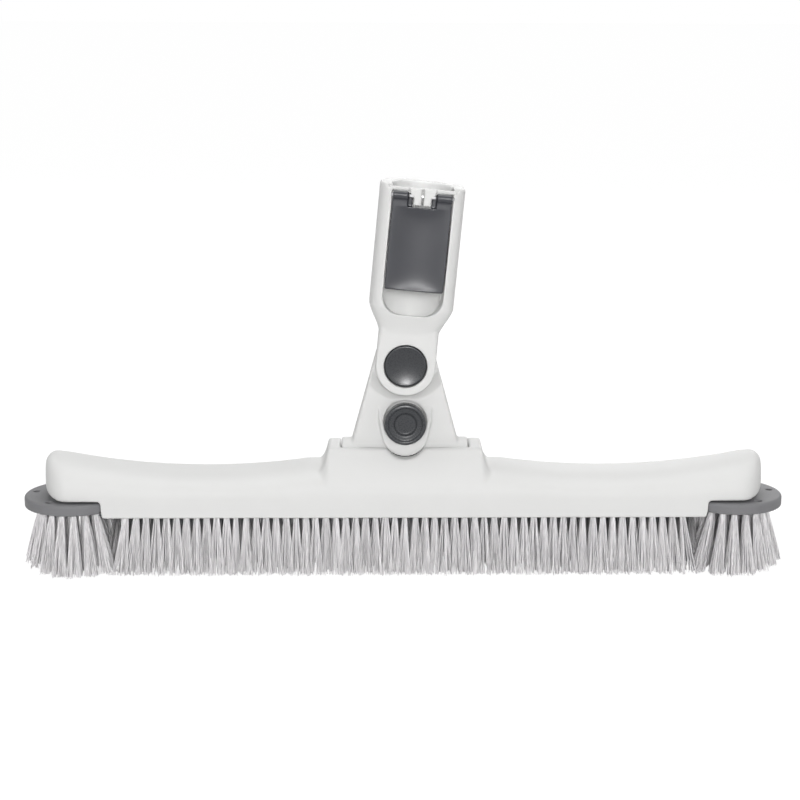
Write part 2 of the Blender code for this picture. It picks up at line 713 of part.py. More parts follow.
def build_neck(axis):
    body = slab(neck_outline(), -NECK_FRONT, NECK_REAR, "Y", NECK_ROUND, REAR_ROUND)
    neck = piece("neck_link", body, WHITE, axis)
    end = BARREL_LENGTH / 2
    edge = BARREL_RADIUS - REAR_ROUND
    half_profile = [(edge, -end), (BARREL_RADIUS, -end + REAR_ROUND)]
    barrel = turned(half_profile + [(radius, -x) for radius, x in reversed(half_profile)], 40, "X")
    pad = slab(pad_outline(), -PAD_FRONT, -SPLIT, "Y", PAD_SLOPE)
    top = TILT_BUTTON_RISE + PAD_HEIGHT
    pad_root = NECK_FRONT - NECK_ROUND
    shave(pad, (0.0, -pad_root, top), (0.0, -PAD_HEIGHT, PAD_FRONT - pad_root))
    rear_boss = rod(SWIVEL_BOSS_RADIUS, 0.0, SWIVEL_REAR, "Y", (0.0, PIVOT_RISE), 32)
    join(neck, barrel, pad, rear_boss)

    pivot = (0.0, PIVOT_RISE)
    button = (0.0, TILT_BUTTON_RISE)
    gap = DRUM_WIDTH / 2 + RUN
    half = CAVITY_WIDTH / 2
    cover_half = COVER_WIDTH / 2 + FIT
    bolt_x = BOLT_WIDTH / 2 + RUN
    bolt_y = BOLT_THICKNESS / 2 + RUN
    stem = (STEM_WIDTH / 2 + RUN, STEM_HEIGHT / 2 + RUN)
    cut(
        neck,
        handle_sweep(),
        rod(GEAR_TIP + RUN, -NECK_FRONT, POCKET_FLOOR, "Y", pivot, 32),
        rod(POST_RADIUS + RUN, 0.0, SWIVEL_REAR + FIT, "Y", pivot, 20),
        rod(WASHER_RADIUS + RUN, POCKET_FLOOR + TONGUE_FLOOR, SWIVEL_REAR + FIT, "Y", pivot, 28),
        rod(TROUGH + FIT, -gap, gap, "X", (0.0, 0.0), 32),
        rod(PIN_RADIUS + RUN, -BARREL_LENGTH, BARREL_LENGTH, "X", (0.0, 0.0), 20),
        rod(BUTTON_RADIUS + RUN, -2 * PAD_FRONT, -TILT_BORE_FLOOR, "Y", button, 40),
        block(
            (-stem[0], -PAD_FRONT, TILT_BUTTON_RISE - stem[1]), (stem[0], 0.0, TILT_BUTTON_RISE + stem[1])
        ),
        block((-half, -CAVITY_FRONT, CAVITY_LOW), (half, 2 * NECK_REAR, CAVITY_TOP)),
        block((-bolt_x, -bolt_y, 0.0), (bolt_x, bolt_y, CAVITY_LOW + FIT)),
        block(
            (-cover_half, NECK_REAR - COVER_THICKNESS - FIT, COVER_FROM_HINGE - FIT),
            (cover_half, 2 * NECK_REAR, COVER_FROM_HINGE + COVER_HEIGHT + FIT),
        ),
    )
    pilot_end = COVER_SEAT - COVER_SCREW_REACH - FIT
    for x, z in cover_screw_places():
        cut(neck, rod(COVER_SCREW_RADIUS + FIT, pilot_end, NECK_REAR, "Y", (x, z), 12))


def cover_screw_places():
    half = COVER_WIDTH / 2 - COVER_SCREW_INSET
    low = COVER_FROM_HINGE + COVER_SCREW_INSET
    high = COVER_FROM_HINGE + COVER_HEIGHT - COVER_SCREW_INSET
    return [(x, z) for x in (-half, half) for z in (low, high)]


def build_neck_cover(axis):
    half = COVER_WIDTH / 2
    low = COVER_FROM_HINGE
    outline = [(-half, low), (half, low), (half, low + COVER_HEIGHT), (-half, low + COVER_HEIGHT)]
    cover = piece("neck_cover", prism(outline, NECK_REAR - COVER_THICKNESS, NECK_REAR, "Y"), WHITE, axis)
    for number, (x, z) in enumerate(cover_screw_places(), 1):
        drill = (COVER_SCREW_HEAD + FIT, NECK_REAR + FIT, COVER_SEAT, COVER_SCREW_RADIUS + FIT, 0.0)
        cut(cover, step_drill(*drill, "Y", (x, z)))
        drive = Matrix.Translation((x, COVER_SEAT + FIT, z)) @ Matrix.Rotation(math.pi / 2, 4, "X")
        screw(
            f"cover_screw_{number}",
            COVER_SCREW_HEAD,
            NECK_REAR - COVER_SEAT - FIT,
            COVER_SCREW_RADIUS,
            COVER_SCREW_REACH,
            drive,
            axis,
        )


def build_tilt_lock(axis):
    """Button with a ramped stem, the bolt that the ramp lifts, and its spring."""
    button_axis = empty("tilt_button_axis", (0.0, 0.0, TILT_BUTTON_RISE), axis)
    back = -(TILT_BORE_FLOOR + TILT_TRAVEL + FIT)
    front = -TILT_BUTTON_FRONT
    profile = [
        (DISH_RADIUS - DISH_STEP, front + DISH_DEPTH),
        (DISH_RADIUS, front + DISH_DEPTH - DISH_STEP / 2),
        (DISH_RADIUS + DISH_STEP / 2, front + DISH_STEP),
        (BUTTON_RADIUS - 2 * DISH_STEP, front + DISH_STEP / 2),
        (BUTTON_RADIUS - 1.5 * DISH_STEP, front),
        (BUTTON_RADIUS - DISH_STEP / 2, front + DISH_STEP / 4),
        (BUTTON_RADIUS, front + DISH_STEP),
        (BUTTON_RADIUS, back),
    ]
    button = piece("tilt_button", turned(profile, 32, "Y"), DARK_GREY, button_axis)
    ramp_start = -(BOLT_THICKNESS / 2 + RUN)
    low = -STEM_HEIGHT / 2
    high = STEM_HEIGHT / 2
    ramp_end = ramp_start + STEM_HEIGHT - STEM_TIP
    root = back - FIT
    stem = [(root, low), (ramp_end, low), (ramp_end, low + STEM_TIP), (ramp_start, high), (root, high)]
    join(button, prism(stem, -STEM_WIDTH / 2, STEM_WIDTH / 2, "X"))

    half = BOLT_THICKNESS / 2
    tip = BARREL_RADIUS
    taper = half - BOLT_TIP / 2
    side = [
        (-BOLT_TIP / 2, tip),
        (BOLT_TIP / 2, tip),
        (half, tip + taper),
        (half, BOLT_TOP),
        (-half, BOLT_TOP),
        (-half, tip + taper),
    ]
    bolt = piece("tilt_bolt", prism(side, -BOLT_WIDTH / 2, BOLT_WIDTH / 2, "X"), DARK_GREY, axis)
    lift = FIT * math.sqrt(2)
    window_low = TILT_BUTTON_RISE + low - RUN - TILT_TRAVEL
    window_high = TILT_BUTTON_RISE + high + lift + ramp_start
    reach = 2 * half
    window = [
        (-reach, window_low),
        (reach, window_low),
        (reach, window_high - reach),
        (-reach, window_high + reach),
    ]
    cut(bolt, prism(window, -STEM_WIDTH / 2 - RUN, STEM_WIDTH / 2 + RUN, "X"))
    low = BOLT_TOP + FIT
    high = CAVITY_TOP - FIT
    spring("tilt_spring", TILT_SPRING_RADIUS, low, high, TILT_SPRING_TURNS, Matrix(), axis)


def socket_section(level, half, front, back):
    """Section of the socket: squared front with room for the rails, round back."""
    points = []
    for k in range(36):
        angle = math.tau * k / 36
        power = 0.5 if math.sin(angle) < 0 else 0.95
        x = half * math.copysign(abs(math.cos(angle)) ** power, math.cos(angle))
        y = math.copysign(abs(math.sin(angle)) ** power, math.sin(angle))
        points.append((x, y * (front if y < 0 else back), level))
    return points


def build_handle(axis):
    sections = []
    steps = 6
    for k in range(steps + 1):
        share = k / steps
        smooth = 0.6 * share + 0.4 * share**2 * (3 - 2 * share)
        round_back = math.sqrt(1 - (1 - share) ** 2)
        sections.append(
            socket_section(
                SHOULDER + (SOCKET_START - SHOULDER) * share,
                SLAB_HALF + (SOCKET_HALF - SLAB_HALF) * smooth,
                LOBE_FRONT + (SOCKET_FRONT - LOBE_FRONT) * smooth,
                SHOULDER_BACK + (SOCKET_HALF - SHOULDER_BACK) * round_back,
            )
        )
    sections.append(socket_section(MOUTH - MOUTH_ROUND, SOCKET_HALF, SOCKET_FRONT, SOCKET_HALF))
    rim = MOUTH_ROUND / 2
    sections.append(socket_section(MOUTH, SOCKET_HALF - rim, SOCKET_FRONT - rim, SOCKET_HALF - rim))
    handle = piece("handle_socket", loft(sections), WHITE, axis)

    outline = arc((0.0, 0.0), SLAB_HALF, 180, 360, 20)
    top = SHOULDER + SLAB_LAP
    outline += [(SLAB_HALF, top), (-SLAB_HALF, top)]
    join(handle, slab(outline, -LOBE_FRONT, -SPLIT - FIT, "Y", LOBE_SLOPE, steps=1))

    corner = WINDOW_HALF - WINDOW_CORNER
    right = arc((corner, WINDOW_FLOOR + WINDOW_CORNER), WINDOW_CORNER, 270, 360, 6)
    left = [(-x, z) for x, z in reversed(right)]
    over = MOUTH + WALL
    window = right + [(WINDOW_HALF, over), (-WINDOW_HALF, over)] + left
    cut(
        handle,
        prism(window, -2 * SOCKET_FRONT, -WINDOW_BACK, "Y"),
        rod(BORE_RADIUS, SOCKET_FLOOR, over, "Z", (0.0, 0.0), 40),
        rod(BUTTON_RADIUS + RUN, -2 * LOBE_FRONT, SWIVEL_BORE_FLOOR, "Y", (0.0, 0.0), 40),
        prism(gear_outline(RUN), GEAR_FRONT - FIT, 0.0, "Y"),
    )
    for x, z in prong_places():
        cut(handle, rod(PRONG_RADIUS + RUN, SWIVEL_BORE_FLOOR - FIT, GEAR_FRONT, "Y", (x, z), 12))
    post_end = POCKET_FLOOR + TONGUE_FLOOR + FIT
    join(handle, rod(POST_RADIUS, SWIVEL_BORE_FLOOR + LOBE_FLOOR / 2, post_end, "Y", sides=20))
    cut(handle, rod(SCREW_RADIUS + FIT, WASHER_SEAT - SCREW_REACH, SWIVEL_REAR, "Y", sides=12))

    bar_low = LEVER_PIN_Z + LUG_RADIUS + RUN
    bar_back = BORE_RADIUS + RUN / 2
    bar = WINDOW_HALF + WALL / 2
    join(handle, block((-bar, -bar_back - BAR_THICKNESS, bar_low), (bar, -bar_back, MOUTH - MOUTH_ROUND)))
    for side in (-1, 1):
        join(handle, knuckle(side, bar_back))
    pin_end = WINDOW_HALF + PIN_IN_RAIL
    hinge = (-LEVER_PIN_FRONT, LEVER_PIN_Z)
    cut(handle, rod(LEVER_PIN_RADIUS + FIT, -pin_end - FIT, pin_end + FIT, "X", hinge, 16))
    piece("lever_pin", rod(LEVER_PIN_RADIUS, -pin_end, pin_end, "X", hinge, 16), STEEL, axis)


def knuckle(side, back):
    """One of the two hooks that hold the lever's pin, in side view then given its width."""
    front = LEVER_PIN_FRONT + KNUCKLE_FRONT
    low = LEVER_PIN_Z - KNUCKLE_DROP
    top = MOUTH - MOUTH_ROUND - FIT
    nose = arc((-front + KNUCKLE_ROUND, top - KNUCKLE_ROUND), KNUCKLE_ROUND, 180, 90, 4)
    toe = arc((-front + KNUCKLE_ROUND, low + KNUCKLE_ROUND), KNUCKLE_ROUND, 270, 180, 4)
    outline = [(-back, low)] + toe + nose + [(-back, top)]
    near = side * KNUCKLE_SLIT / 2
    far = side * (KNUCKLE_SLIT / 2 + KNUCKLE_WIDTH)
    return prism(outline, min(near, far), max(near, far), "X")


def prong_places():
    return arc((0.0, 0.0), PRONG_CIRCLE, 90, 330, 2)


def gear_outline(grow=0.0):
    """Star gear with blunt teeth; grow gives the pocket that it slides in."""
    points = []
    quarter = 90 / GEAR_TEETH
    widen = math.degrees(grow / GEAR_ROOT)
    for k in range(GEAR_TEETH):
        middle = 360 / GEAR_TEETH * k
        flanks = ((-1.4, GEAR_ROOT), (-0.7, GEAR_TIP), (0.7, GEAR_TIP), (1.4, GEAR_ROOT))
        for place, radius in flanks:
            angle = middle + place * quarter + math.copysign(widen, place)
            points += arc((0.0, 0.0), radius + grow, angle, angle, 1)[:1]
    return points


def build_swivel_lock(axis):
    """Button whose prongs push the star gear, the gear, its spring, and the pivot's screw and washer."""
    front = -LOBE_FRONT + SWIVEL_BUTTON_SUNK
    back = front + SWIVEL_CAP
    rim = BUTTON_RADIUS - CAP_ROUND
    profile = [
        (rim * 0.4, front + CAP_DISH),
        (rim * 0.8, front + CAP_DISH * 0.6),
        (rim, front),
        (BUTTON_RADIUS, front + CAP_ROUND),
        (BUTTON_RADIUS, back),
    ]
    button = piece("swivel_button", turned(profile, 32, "Y"), DARK_GREY, axis)
    for x, z in prong_places():
        join(button, rod(PRONG_RADIUS, back - SWIVEL_CAP / 2, GEAR_FRONT - FIT, "Y", (x, z), 12))

    gear_back = GEAR_FRONT + GEAR_LENGTH
    gear = piece("swivel_gear", prism(gear_outline(), GEAR_FRONT, gear_back, "Y"), DARK_GREY, axis)
    cut(gear, rod(POST_RADIUS + RUN, GEAR_FRONT - FIT, gear_back + FIT, "Y", sides=20))
    along_y = Matrix.Rotation(-math.pi / 2, 4, "X")
    low = gear_back + FIT
    high = POCKET_FLOOR - FIT
    spring("swivel_spring", SWIVEL_SPRING_RADIUS, low, high, SWIVEL_SPRING_TURNS, along_y, axis)

    inner = SCREW_RADIUS + FIT
    washer = [
        (inner, WASHER_SEAT - WASHER_THICKNESS),
        (WASHER_RADIUS, WASHER_SEAT - WASHER_THICKNESS),
        (WASHER_RADIUS, WASHER_SEAT),
        (inner, WASHER_SEAT),
    ]
    piece("swivel_washer", turned(washer, 24, "Y", ring=True), STEEL, axis)
    drive = Matrix.Translation((0.0, WASHER_SEAT + FIT, 0.0)) @ Matrix.Rotation(math.pi / 2, 4, "X")
    screw("swivel_screw", SCREW_HEAD_RADIUS, SCREW_HEAD_HEIGHT, SCREW_RADIUS, SCREW_REACH, drive, axis)


def build_lever(axis):
    """Lever in the window: dished plate, stiffening flanges, two lugs on the pin and the locking peg."""
    half = WINDOW_HALF - LEVER_GAP
    end = LEVER_END - LEVER_PIN_Z
    front = LEVER_PIN_FRONT - LEVER_FRONT
    back = LEVER_PIN_FRONT - LEVER_BACK
    corner = arc((half - LEVER_CORNER, end + LEVER_CORNER), LEVER_CORNER, 270, 360, 4)
    outline = corner + [(half, 0.0), (LEVER_NOTCH, 0.0), (LEVER_NOTCH, -LEVER_NOTCH_DROP)]
    outline += [(-x, z) for x, z in reversed(outline)]
    lever = piece("pole_lever", prism(outline, front, back, "Y"), DARK_GREY, axis)
    for side in (-1, 1):
        low, high = sorted((side * LEVER_NOTCH, side * half))
        join(lever, rod(LUG_RADIUS, low, high, "X", sides=24))
        low, high = sorted((side * (half - FLANGE_WIDTH), side * (half - FIT)))
        flange_low = (low, back - FIT, end + 2 * LEVER_CORNER)
        flange_high = (high, LEVER_PIN_FRONT - FLANGE_BACK, -2 * LEVER_NOTCH_DROP)
        join(lever, block(flange_low, flange_high))
    tip = LEVER_PIN_FRONT - PEG_TIP
    taper = PEG_RADIUS / 3
    peg = [(PEG_RADIUS, back - FIT), (PEG_RADIUS, tip - taper), (PEG_RADIUS - taper, tip)]
    join(lever, turned(peg, 20, "Y", (0.0, PEG_HEIGHT - LEVER_PIN_Z)))
    dish = bmesh.new()
    bmesh.ops.create_uvsphere(dish, u_segments=24, v_segments=12, radius=1.0)
    deep = 10 * LEVER_DISH
    middle = (end - LEVER_NOTCH_DROP) / 2
    scale = Matrix.Diagonal((DISH_SPREAD * half, deep, -DISH_SPREAD * end, 1.0))
    place = Matrix.Translation((0.0, front - deep + LEVER_DISH, middle))
    bmesh.ops.transform(dish, matrix=place @ scale, verts=dish.verts)
    cut(lever, dish, rod(LEVER_PIN_RADIUS + FIT, -WINDOW_WIDTH, WINDOW_WIDTH, "X", sides=16))


strands = build_main_bristles()
build_head()
build_plate()
strands += build_end(-1, "left")
strands += build_end(1, "right")
build_hinge()
tilt_axis = empty("tilt_axis", (0.0, 0.0, HINGE_Z))
build_neck(tilt_axis)
build_neck_cover(tilt_axis)
build_tilt_lock(tilt_axis)
swivel_axis = empty("swivel_axis", (0.0, 0.0, PIVOT_RISE), tilt_axis, (0.0, math.radians(REST_LEAN), 0.0))
build_handle(swivel_axis)
build_swivel_lock(swivel_axis)
lever_axis = empty("lever_axis", (0.0, -LEVER_PIN_FRONT, LEVER_PIN_Z), swivel_axis)
build_lever(lever_axis)
print(f"tufts in all: {strands}")
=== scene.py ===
import json
import math

import bmesh
import bpy
from mathutils import Matrix, Vector


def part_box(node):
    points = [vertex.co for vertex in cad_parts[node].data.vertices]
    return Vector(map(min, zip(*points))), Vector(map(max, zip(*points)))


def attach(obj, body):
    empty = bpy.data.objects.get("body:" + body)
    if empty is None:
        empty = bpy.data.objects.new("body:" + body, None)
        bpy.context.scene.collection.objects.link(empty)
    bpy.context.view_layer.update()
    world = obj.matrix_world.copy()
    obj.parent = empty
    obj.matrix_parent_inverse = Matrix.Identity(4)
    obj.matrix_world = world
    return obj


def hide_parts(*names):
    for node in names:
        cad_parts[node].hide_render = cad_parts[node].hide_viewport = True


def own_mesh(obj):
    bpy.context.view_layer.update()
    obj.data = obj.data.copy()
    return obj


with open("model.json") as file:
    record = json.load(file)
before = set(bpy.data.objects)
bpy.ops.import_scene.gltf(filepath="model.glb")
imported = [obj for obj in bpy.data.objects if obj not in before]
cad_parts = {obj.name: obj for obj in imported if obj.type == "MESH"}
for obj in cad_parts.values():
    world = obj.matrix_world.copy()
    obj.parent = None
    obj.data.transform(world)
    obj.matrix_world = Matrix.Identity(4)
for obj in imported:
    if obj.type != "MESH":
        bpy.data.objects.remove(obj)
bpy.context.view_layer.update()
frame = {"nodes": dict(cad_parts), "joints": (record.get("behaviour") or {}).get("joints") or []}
joints = {joint["name"]: joint for joint in frame["joints"]}


# Head shell: the long white moulding that carries the brush, hollow underneath for the bristle plate.
# It is injection moulded ABS, so every edge is soft. Its back line dips on both sides of the raised
# block in the middle, whose two ears hold the neck's hinge.

FIT = 0.0003  # gap between pieces that are fastened together
RUN = 0.0004  # gap beside a piece that turns or slides
SAME_POINT = 1e-7  # points closer than this are one
JOIN = "UNION"
CUT = "DIFFERENCE"
WALL = 0.0030
SKIRT_HEIGHT = 0.0110
SKIRT_LIP = 0.0010  # how far the skirt covers the tufts' roots
BODY_HEIGHT = 0.0232
CREST_RISE = 0.0116
DIP_FROM_CENTRE = 0.1180
END_DEPTH = 0.0160  # length of the rounded end, seen from above
END_TOP_RUN = 0.0064  # how far in its top corner starts
END_TOP_DROP = 0.0090
END_LOW_RUN = 0.0155
END_LOW_RISE = 0.0075
END_GAP = 0.0008  # shadow line over the bumper
END_NARROWEST = 0.03  # share of the depth that is left at the very tip
DOME_ACROSS = 0.75  # powers under 1 make the dome fuller than an ellipse
DOME_RISE = 0.9
EAR_RISE = 0.0055
BLOCK_LIP = 0.0150  # from the middle to the block's front lip
BLOCK_FLARE = 0.0120
LIP_ROUND = 0.0030
BLOCK_SPREAD = 0.6  # how much the block's front widens towards the skirt
BLOCK_CROWDING = 1.5  # more sections near the ears
BLOCK_HOLLOW = 5  # how hollow the block's sides run out
BLOCK_FULLNESS = 1.85  # keeps the block's front outside the dome, as one face with the skirt
BARREL_RADIUS = 0.0090
TILT_BUTTON_RISE = 0.0202
PAD_HALF = 0.0156  # the neck's pad is measured from the middle of the lower button
PAD_DROP = 0.0205
PAD_HEIGHT = 0.0150
PAD_LOW_RADIUS = 0.0135
HEAD_VOXEL = 0.0010
HEAD_PASSES = 5

head_low, head_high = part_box("head_shell")
plate_low, plate_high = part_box("bristle_plate")
bumper_low, bumper_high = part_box("end_bumper_right")
pin_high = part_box("tilt_hinge_pin")[1]
neck_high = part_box("neck_link")[1]
hinge = Vector(joints["head_tilt"]["pos_m"])
tilt_back = joints["head_tilt"]["range_deg"][1]
half_length = head_high.x
half_depth = head_high.y
base = head_low.z
skirt_top = base + SKIRT_HEIGHT
end_low = bumper_high.z + END_GAP
notch_x = bumper_low.x - FIT
ear_inner = neck_high.x + RUN
block_half = pin_high.x + FIT
block_foot = block_half + BLOCK_FLARE
trough_radius = BARREL_RADIUS + RUN


def round_point(centre, radius, angle):
    """Point on a circle, angle in degrees."""
    turn = math.radians(angle)
    return centre[0] + radius * math.cos(turn), centre[1] + radius * math.sin(turn)


def arc(centre, radius, start, end, steps):
    """Points on a round stretch of an outline, angles in degrees."""
    return [round_point(centre, radius, start + (end - start) * k / steps) for k in range(steps + 1)]


def circle(centre, radius, sides):
    """Points all round a circle."""
    return arc(centre, radius, 0, 360 - 360 / sides, sides - 1)


def loft(loops):
    """Solid through a row of loops with the same number of points."""
    bm = bmesh.new()
    rings = [[bm.verts.new(point) for point in loop] for loop in loops]
    for first, second in zip(rings, rings[1:]):
        for k in range(len(first)):
            after = (k + 1) % len(first)
            bm.faces.new((first[k], first[after], second[after], second[k]))
    bm.faces.new(rings[0][::-1])
    bm.faces.new(rings[-1])
    return bm


def spot(axis, a, b, level):
    """Point of a flat outline, set at a level along an axis."""
    return {"X": (level, a, b), "Y": (a, level, b), "Z": (a, b, level)}[axis]


def prism(outline, low, high, axis):
    """Straight solid on an outline."""
    return loft([[spot(axis, a, b, level) for a, b in outline] for level in (low, high)])


def block(low, high):
    """Box between two corners."""
    outline = [(low[0], low[1]), (high[0], low[1]), (high[0], high[1]), (low[0], high[1])]
    return prism(outline, low[2], high[2], "Z")


def rod(radius, low, high, axis, centre=(0.0, 0.0), sides=64):
    """Plain round bar, also used as a drill."""
    return prism(circle(centre, radius, sides), low, high, axis)


def shape(name, bm):
    """Close a bmesh into an object."""
    bmesh.ops.remove_doubles(bm, verts=bm.verts, dist=SAME_POINT)
    bmesh.ops.recalc_face_normals(bm, faces=bm.faces)
    mesh = bpy.data.meshes.new(name)
    bm.to_mesh(mesh)
    bm.free()
    mesh.shade_smooth()
    body = bpy.data.objects.new(name, mesh)
    bpy.context.collection.objects.link(body)
    return body


def worked(name, bm, changes):
    """Working object with its joins and cuts as modifiers, and the tools that they use."""
    body = shape(f"{name}_work", bm)
    tools = []
    for operation, tool in changes:
        tools.append(shape(f"{name}_tool", tool))
        change = body.modifiers.new(operation, "BOOLEAN")
        change.operation = operation
        change.solver = "EXACT"
        change.object = tools[-1]
    return body, tools


def keep(name, source, tools=(), place=Matrix()):
    """Plain mesh object of what a working object's modifiers make, put in its place."""
    evaluated = source.evaluated_get(bpy.context.evaluated_depsgraph_get())
    mesh = bpy.data.meshes.new_from_object(evaluated)
    mesh.name = name
    mesh.transform(place)
    for used in (source, *tools):
        bpy.data.objects.remove(used, do_unlink=True)
    body = bpy.data.objects.new(name, mesh)
    bpy.context.collection.objects.link(body)
    return body


def moulded(name, bm, changes, voxel, passes=3, place=Matrix()):
    """Join and cut shapes, then soften every edge as a mould does: fine voxels, lightly smoothed."""
    body, tools = worked(name, bm, changes)
    skin = body.modifiers.new("skin", "REMESH")
    skin.mode = "VOXEL"
    skin.voxel_size = voxel
    skin.use_smooth_shade = True
    soft = body.modifiers.new("soft", "SMOOTH")
    soft.factor = 0.5
    soft.iterations = passes
    result = keep(name, body, tools, place)
    result.data.shade_smooth()
    return result


def crest(x):
    """Height of the head's back line along its length."""
    away = (max(abs(x), block_foot) - DIP_FROM_CENTRE) / (half_length - DIP_FROM_CENTRE)
    return base + BODY_HEIGHT + CREST_RISE * away**2


def rounding(x, run):
    """Share of an end's rounding at one place: none where it starts, all of it at the tip."""
    into = max(0.0, abs(x) - half_length + run) / run
    return 1 - math.sqrt(max(1 - into**2, 0.0))


def head_section(x, low):
    """Section of the head: straight skirt walls and a full, flattened dome, drawn in at the ends."""
    steps = 48
    half = half_depth * max(1 - rounding(x, END_DEPTH), END_NARROWEST)
    top = crest(x) - END_TOP_DROP * rounding(x, END_TOP_RUN)
    low += END_LOW_RISE * rounding(x, END_LOW_RUN)
    shoulder = max(skirt_top, low + FIT)
    points = [(x, -half, low)]
    for k in range(steps + 1):
        angle = math.pi * k / steps
        across = math.copysign(abs(math.cos(angle)) ** DOME_ACROSS, -math.cos(angle))
        points.append((x, half * across, shoulder + (top - shoulder) * math.sin(angle) ** DOME_RISE))
    points.append((x, half, low))
    return points


def head_body():
    """Outside of the head, from one end to the other."""
    spans = 40
    end_spans = 32
    stations = [(notch_x * k / spans, base - SKIRT_LIP) for k in range(1, spans + 1)]
    end_start = half_length - END_DEPTH
    stations += [(notch_x + FIT, end_low), ((notch_x + end_start) / 2, end_low)]
    turns = [math.pi / 2 * k / end_spans for k in range(end_spans + 1)]
    stations += [(end_start + END_DEPTH * math.sin(turn), end_low) for turn in turns]
    stations = [(-x, low) for x, low in reversed(stations)] + stations
    return loft([head_section(x, low) for x, low in stations])


def hinge_block():
    """Raised block, with sides that run out into the back line in a hollow curve."""
    foot = skirt_top - FIT
    inset = half_depth - FIT
    top_level = hinge.z + EAR_RISE
    sunk = crest(block_foot) - LIP_ROUND
    spans = 16
    sides = []
    for k in range(spans + 1):
        out = (k / spans) ** BLOCK_CROWDING
        sides.append((block_half + BLOCK_FLARE * out, 1 - (1 - out) ** BLOCK_HOLLOW))
    loops = []
    for x, drop in [(-x, drop) for x, drop in reversed(sides)] + sides:
        top = top_level - (top_level - sunk) * drop
        fade = (block_foot - abs(x)) / BLOCK_FLARE
        lip_at = BLOCK_LIP + (inset - BLOCK_LIP) * BLOCK_SPREAD * drop * fade
        lip = arc((-lip_at + LIP_ROUND, top - LIP_ROUND), LIP_ROUND, 160, 90, 8)
        lip_y, lip_z = lip[0]
        shares = [k / 10 for k in range(10)]
        front = [(-inset + (lip_y + inset) * t**BLOCK_FULLNESS, foot + (lip_z - foot) * t) for t in shares]
        front += lip
        loops.append([(x, y, z) for y, z in front + [(-y, z) for y, z in reversed(front)]])
    return loft(loops)


def trough():
    """Room for the neck's barrel, open at the back for the neck to lean into."""
    outline = arc((0.0, hinge.z), trough_radius, 180, 360 - tilt_back, 48)
    start, low = outline[-1]
    back = half_depth + WALL
    sill = low + (back - start) * math.tan(math.radians(90 - tilt_back))
    top = max(hinge.z, sill) + 2 * trough_radius
    outline += [(back, sill), (back, top), (-trough_radius, top)]
    return prism(outline, -ear_inner, ear_inner, "X")


def pad_outline():
    """Front view of the pad round the lower button: its sides close in to a round bottom."""
    rise = PAD_DROP - PAD_LOW_RADIUS
    away = math.hypot(PAD_HALF, rise)
    turn = math.degrees(math.acos(PAD_LOW_RADIUS / away) - math.atan2(rise, PAD_HALF))
    right = arc((0.0, TILT_BUTTON_RISE - rise), PAD_LOW_RADIUS, 270, 360 - turn, 24)
    right += [(PAD_HALF, TILT_BUTTON_RISE), (PAD_HALF, TILT_BUTTON_RISE + PAD_HEIGHT)]
    return right + [(-x, z) for x, z in reversed(right[1:])]


def linear(colour):
    """sRGB hex colour as linear values."""
    parts = [int(colour[k : k + 2], 16) / 255 for k in (1, 3, 5)]
    return [p / 12.92 if p <= 0.04045 else ((p + 0.055) / 1.055) ** 2.4 for p in parts] + [1.0]


def add_node(tree, kind, inputs=None, **settings):
    """Add a node; each of its inputs gets a value or a link from another node's output."""
    node = tree.nodes.new(kind)
    for name, value in settings.items():
        setattr(node, name, value)
    for name, value in (inputs or {}).items():
        if isinstance(value, bpy.types.NodeSocket):
            tree.links.new(value, node.inputs[name])
        else:
            node.inputs[name].default_value = value
    return node


def new_material(name):
    """New material, with its tree, its shader and the piece's own coordinates."""
    material = bpy.data.materials.new(name)
    material.use_nodes = True
    tree = material.node_tree
    place = add_node(tree, "ShaderNodeTexCoord").outputs["Object"]
    return material, tree, tree.nodes["Principled BSDF"], place


def moulded_plastic(name, light, dark, roughness, grain, depth, ior):
    """Moulded plastic: the tool's fine spark-eroded grain, and a faint cloudiness of the pigment."""
    cloud_size = 0.022
    uneven = 0.06  # how far the grain changes the roughness, each way
    material, tree, shader, place = new_material(name)
    shader.inputs["IOR"].default_value = ior
    cloud = add_node(tree, "ShaderNodeTexNoise", {"Vector": place, "Scale": 1 / cloud_size, "Detail": 2.0})
    tones = {0: cloud.outputs["Fac"], 6: linear(light), 7: linear(dark)}
    colour = add_node(tree, "ShaderNodeMix", tones, data_type="RGBA")
    tree.links.new(colour.outputs[2], shader.inputs["Base Color"])
    fine = add_node(tree, "ShaderNodeTexNoise", {"Vector": place, "Scale": 1 / grain, "Detail": 3.0})
    gloss = add_node(
        tree,
        "ShaderNodeMapRange",
        {"Value": fine.outputs["Fac"], "To Min": roughness - uneven, "To Max": roughness + uneven},
    )
    tree.links.new(gloss.outputs["Result"], shader.inputs["Roughness"])
    bump = add_node(
        tree, "ShaderNodeBump", {"Height": fine.outputs["Fac"], "Distance": depth, "Strength": 0.5}
    )
    tree.links.new(bump.outputs["Normal"], shader.inputs["Normal"])
    return material


# White ABS straight from the mould: a soft, nearly neutral white with a satin sheen. The real grain is
# about 0.1 mm, too fine to show in the render, so it is drawn at 0.7 mm.
GRAIN = 0.0007
white_abs = moulded_plastic(
    "white_abs", "#CFCFCE", "#CBCBCA", roughness=0.58, grain=GRAIN, depth=0.00003, ior=1.46
)

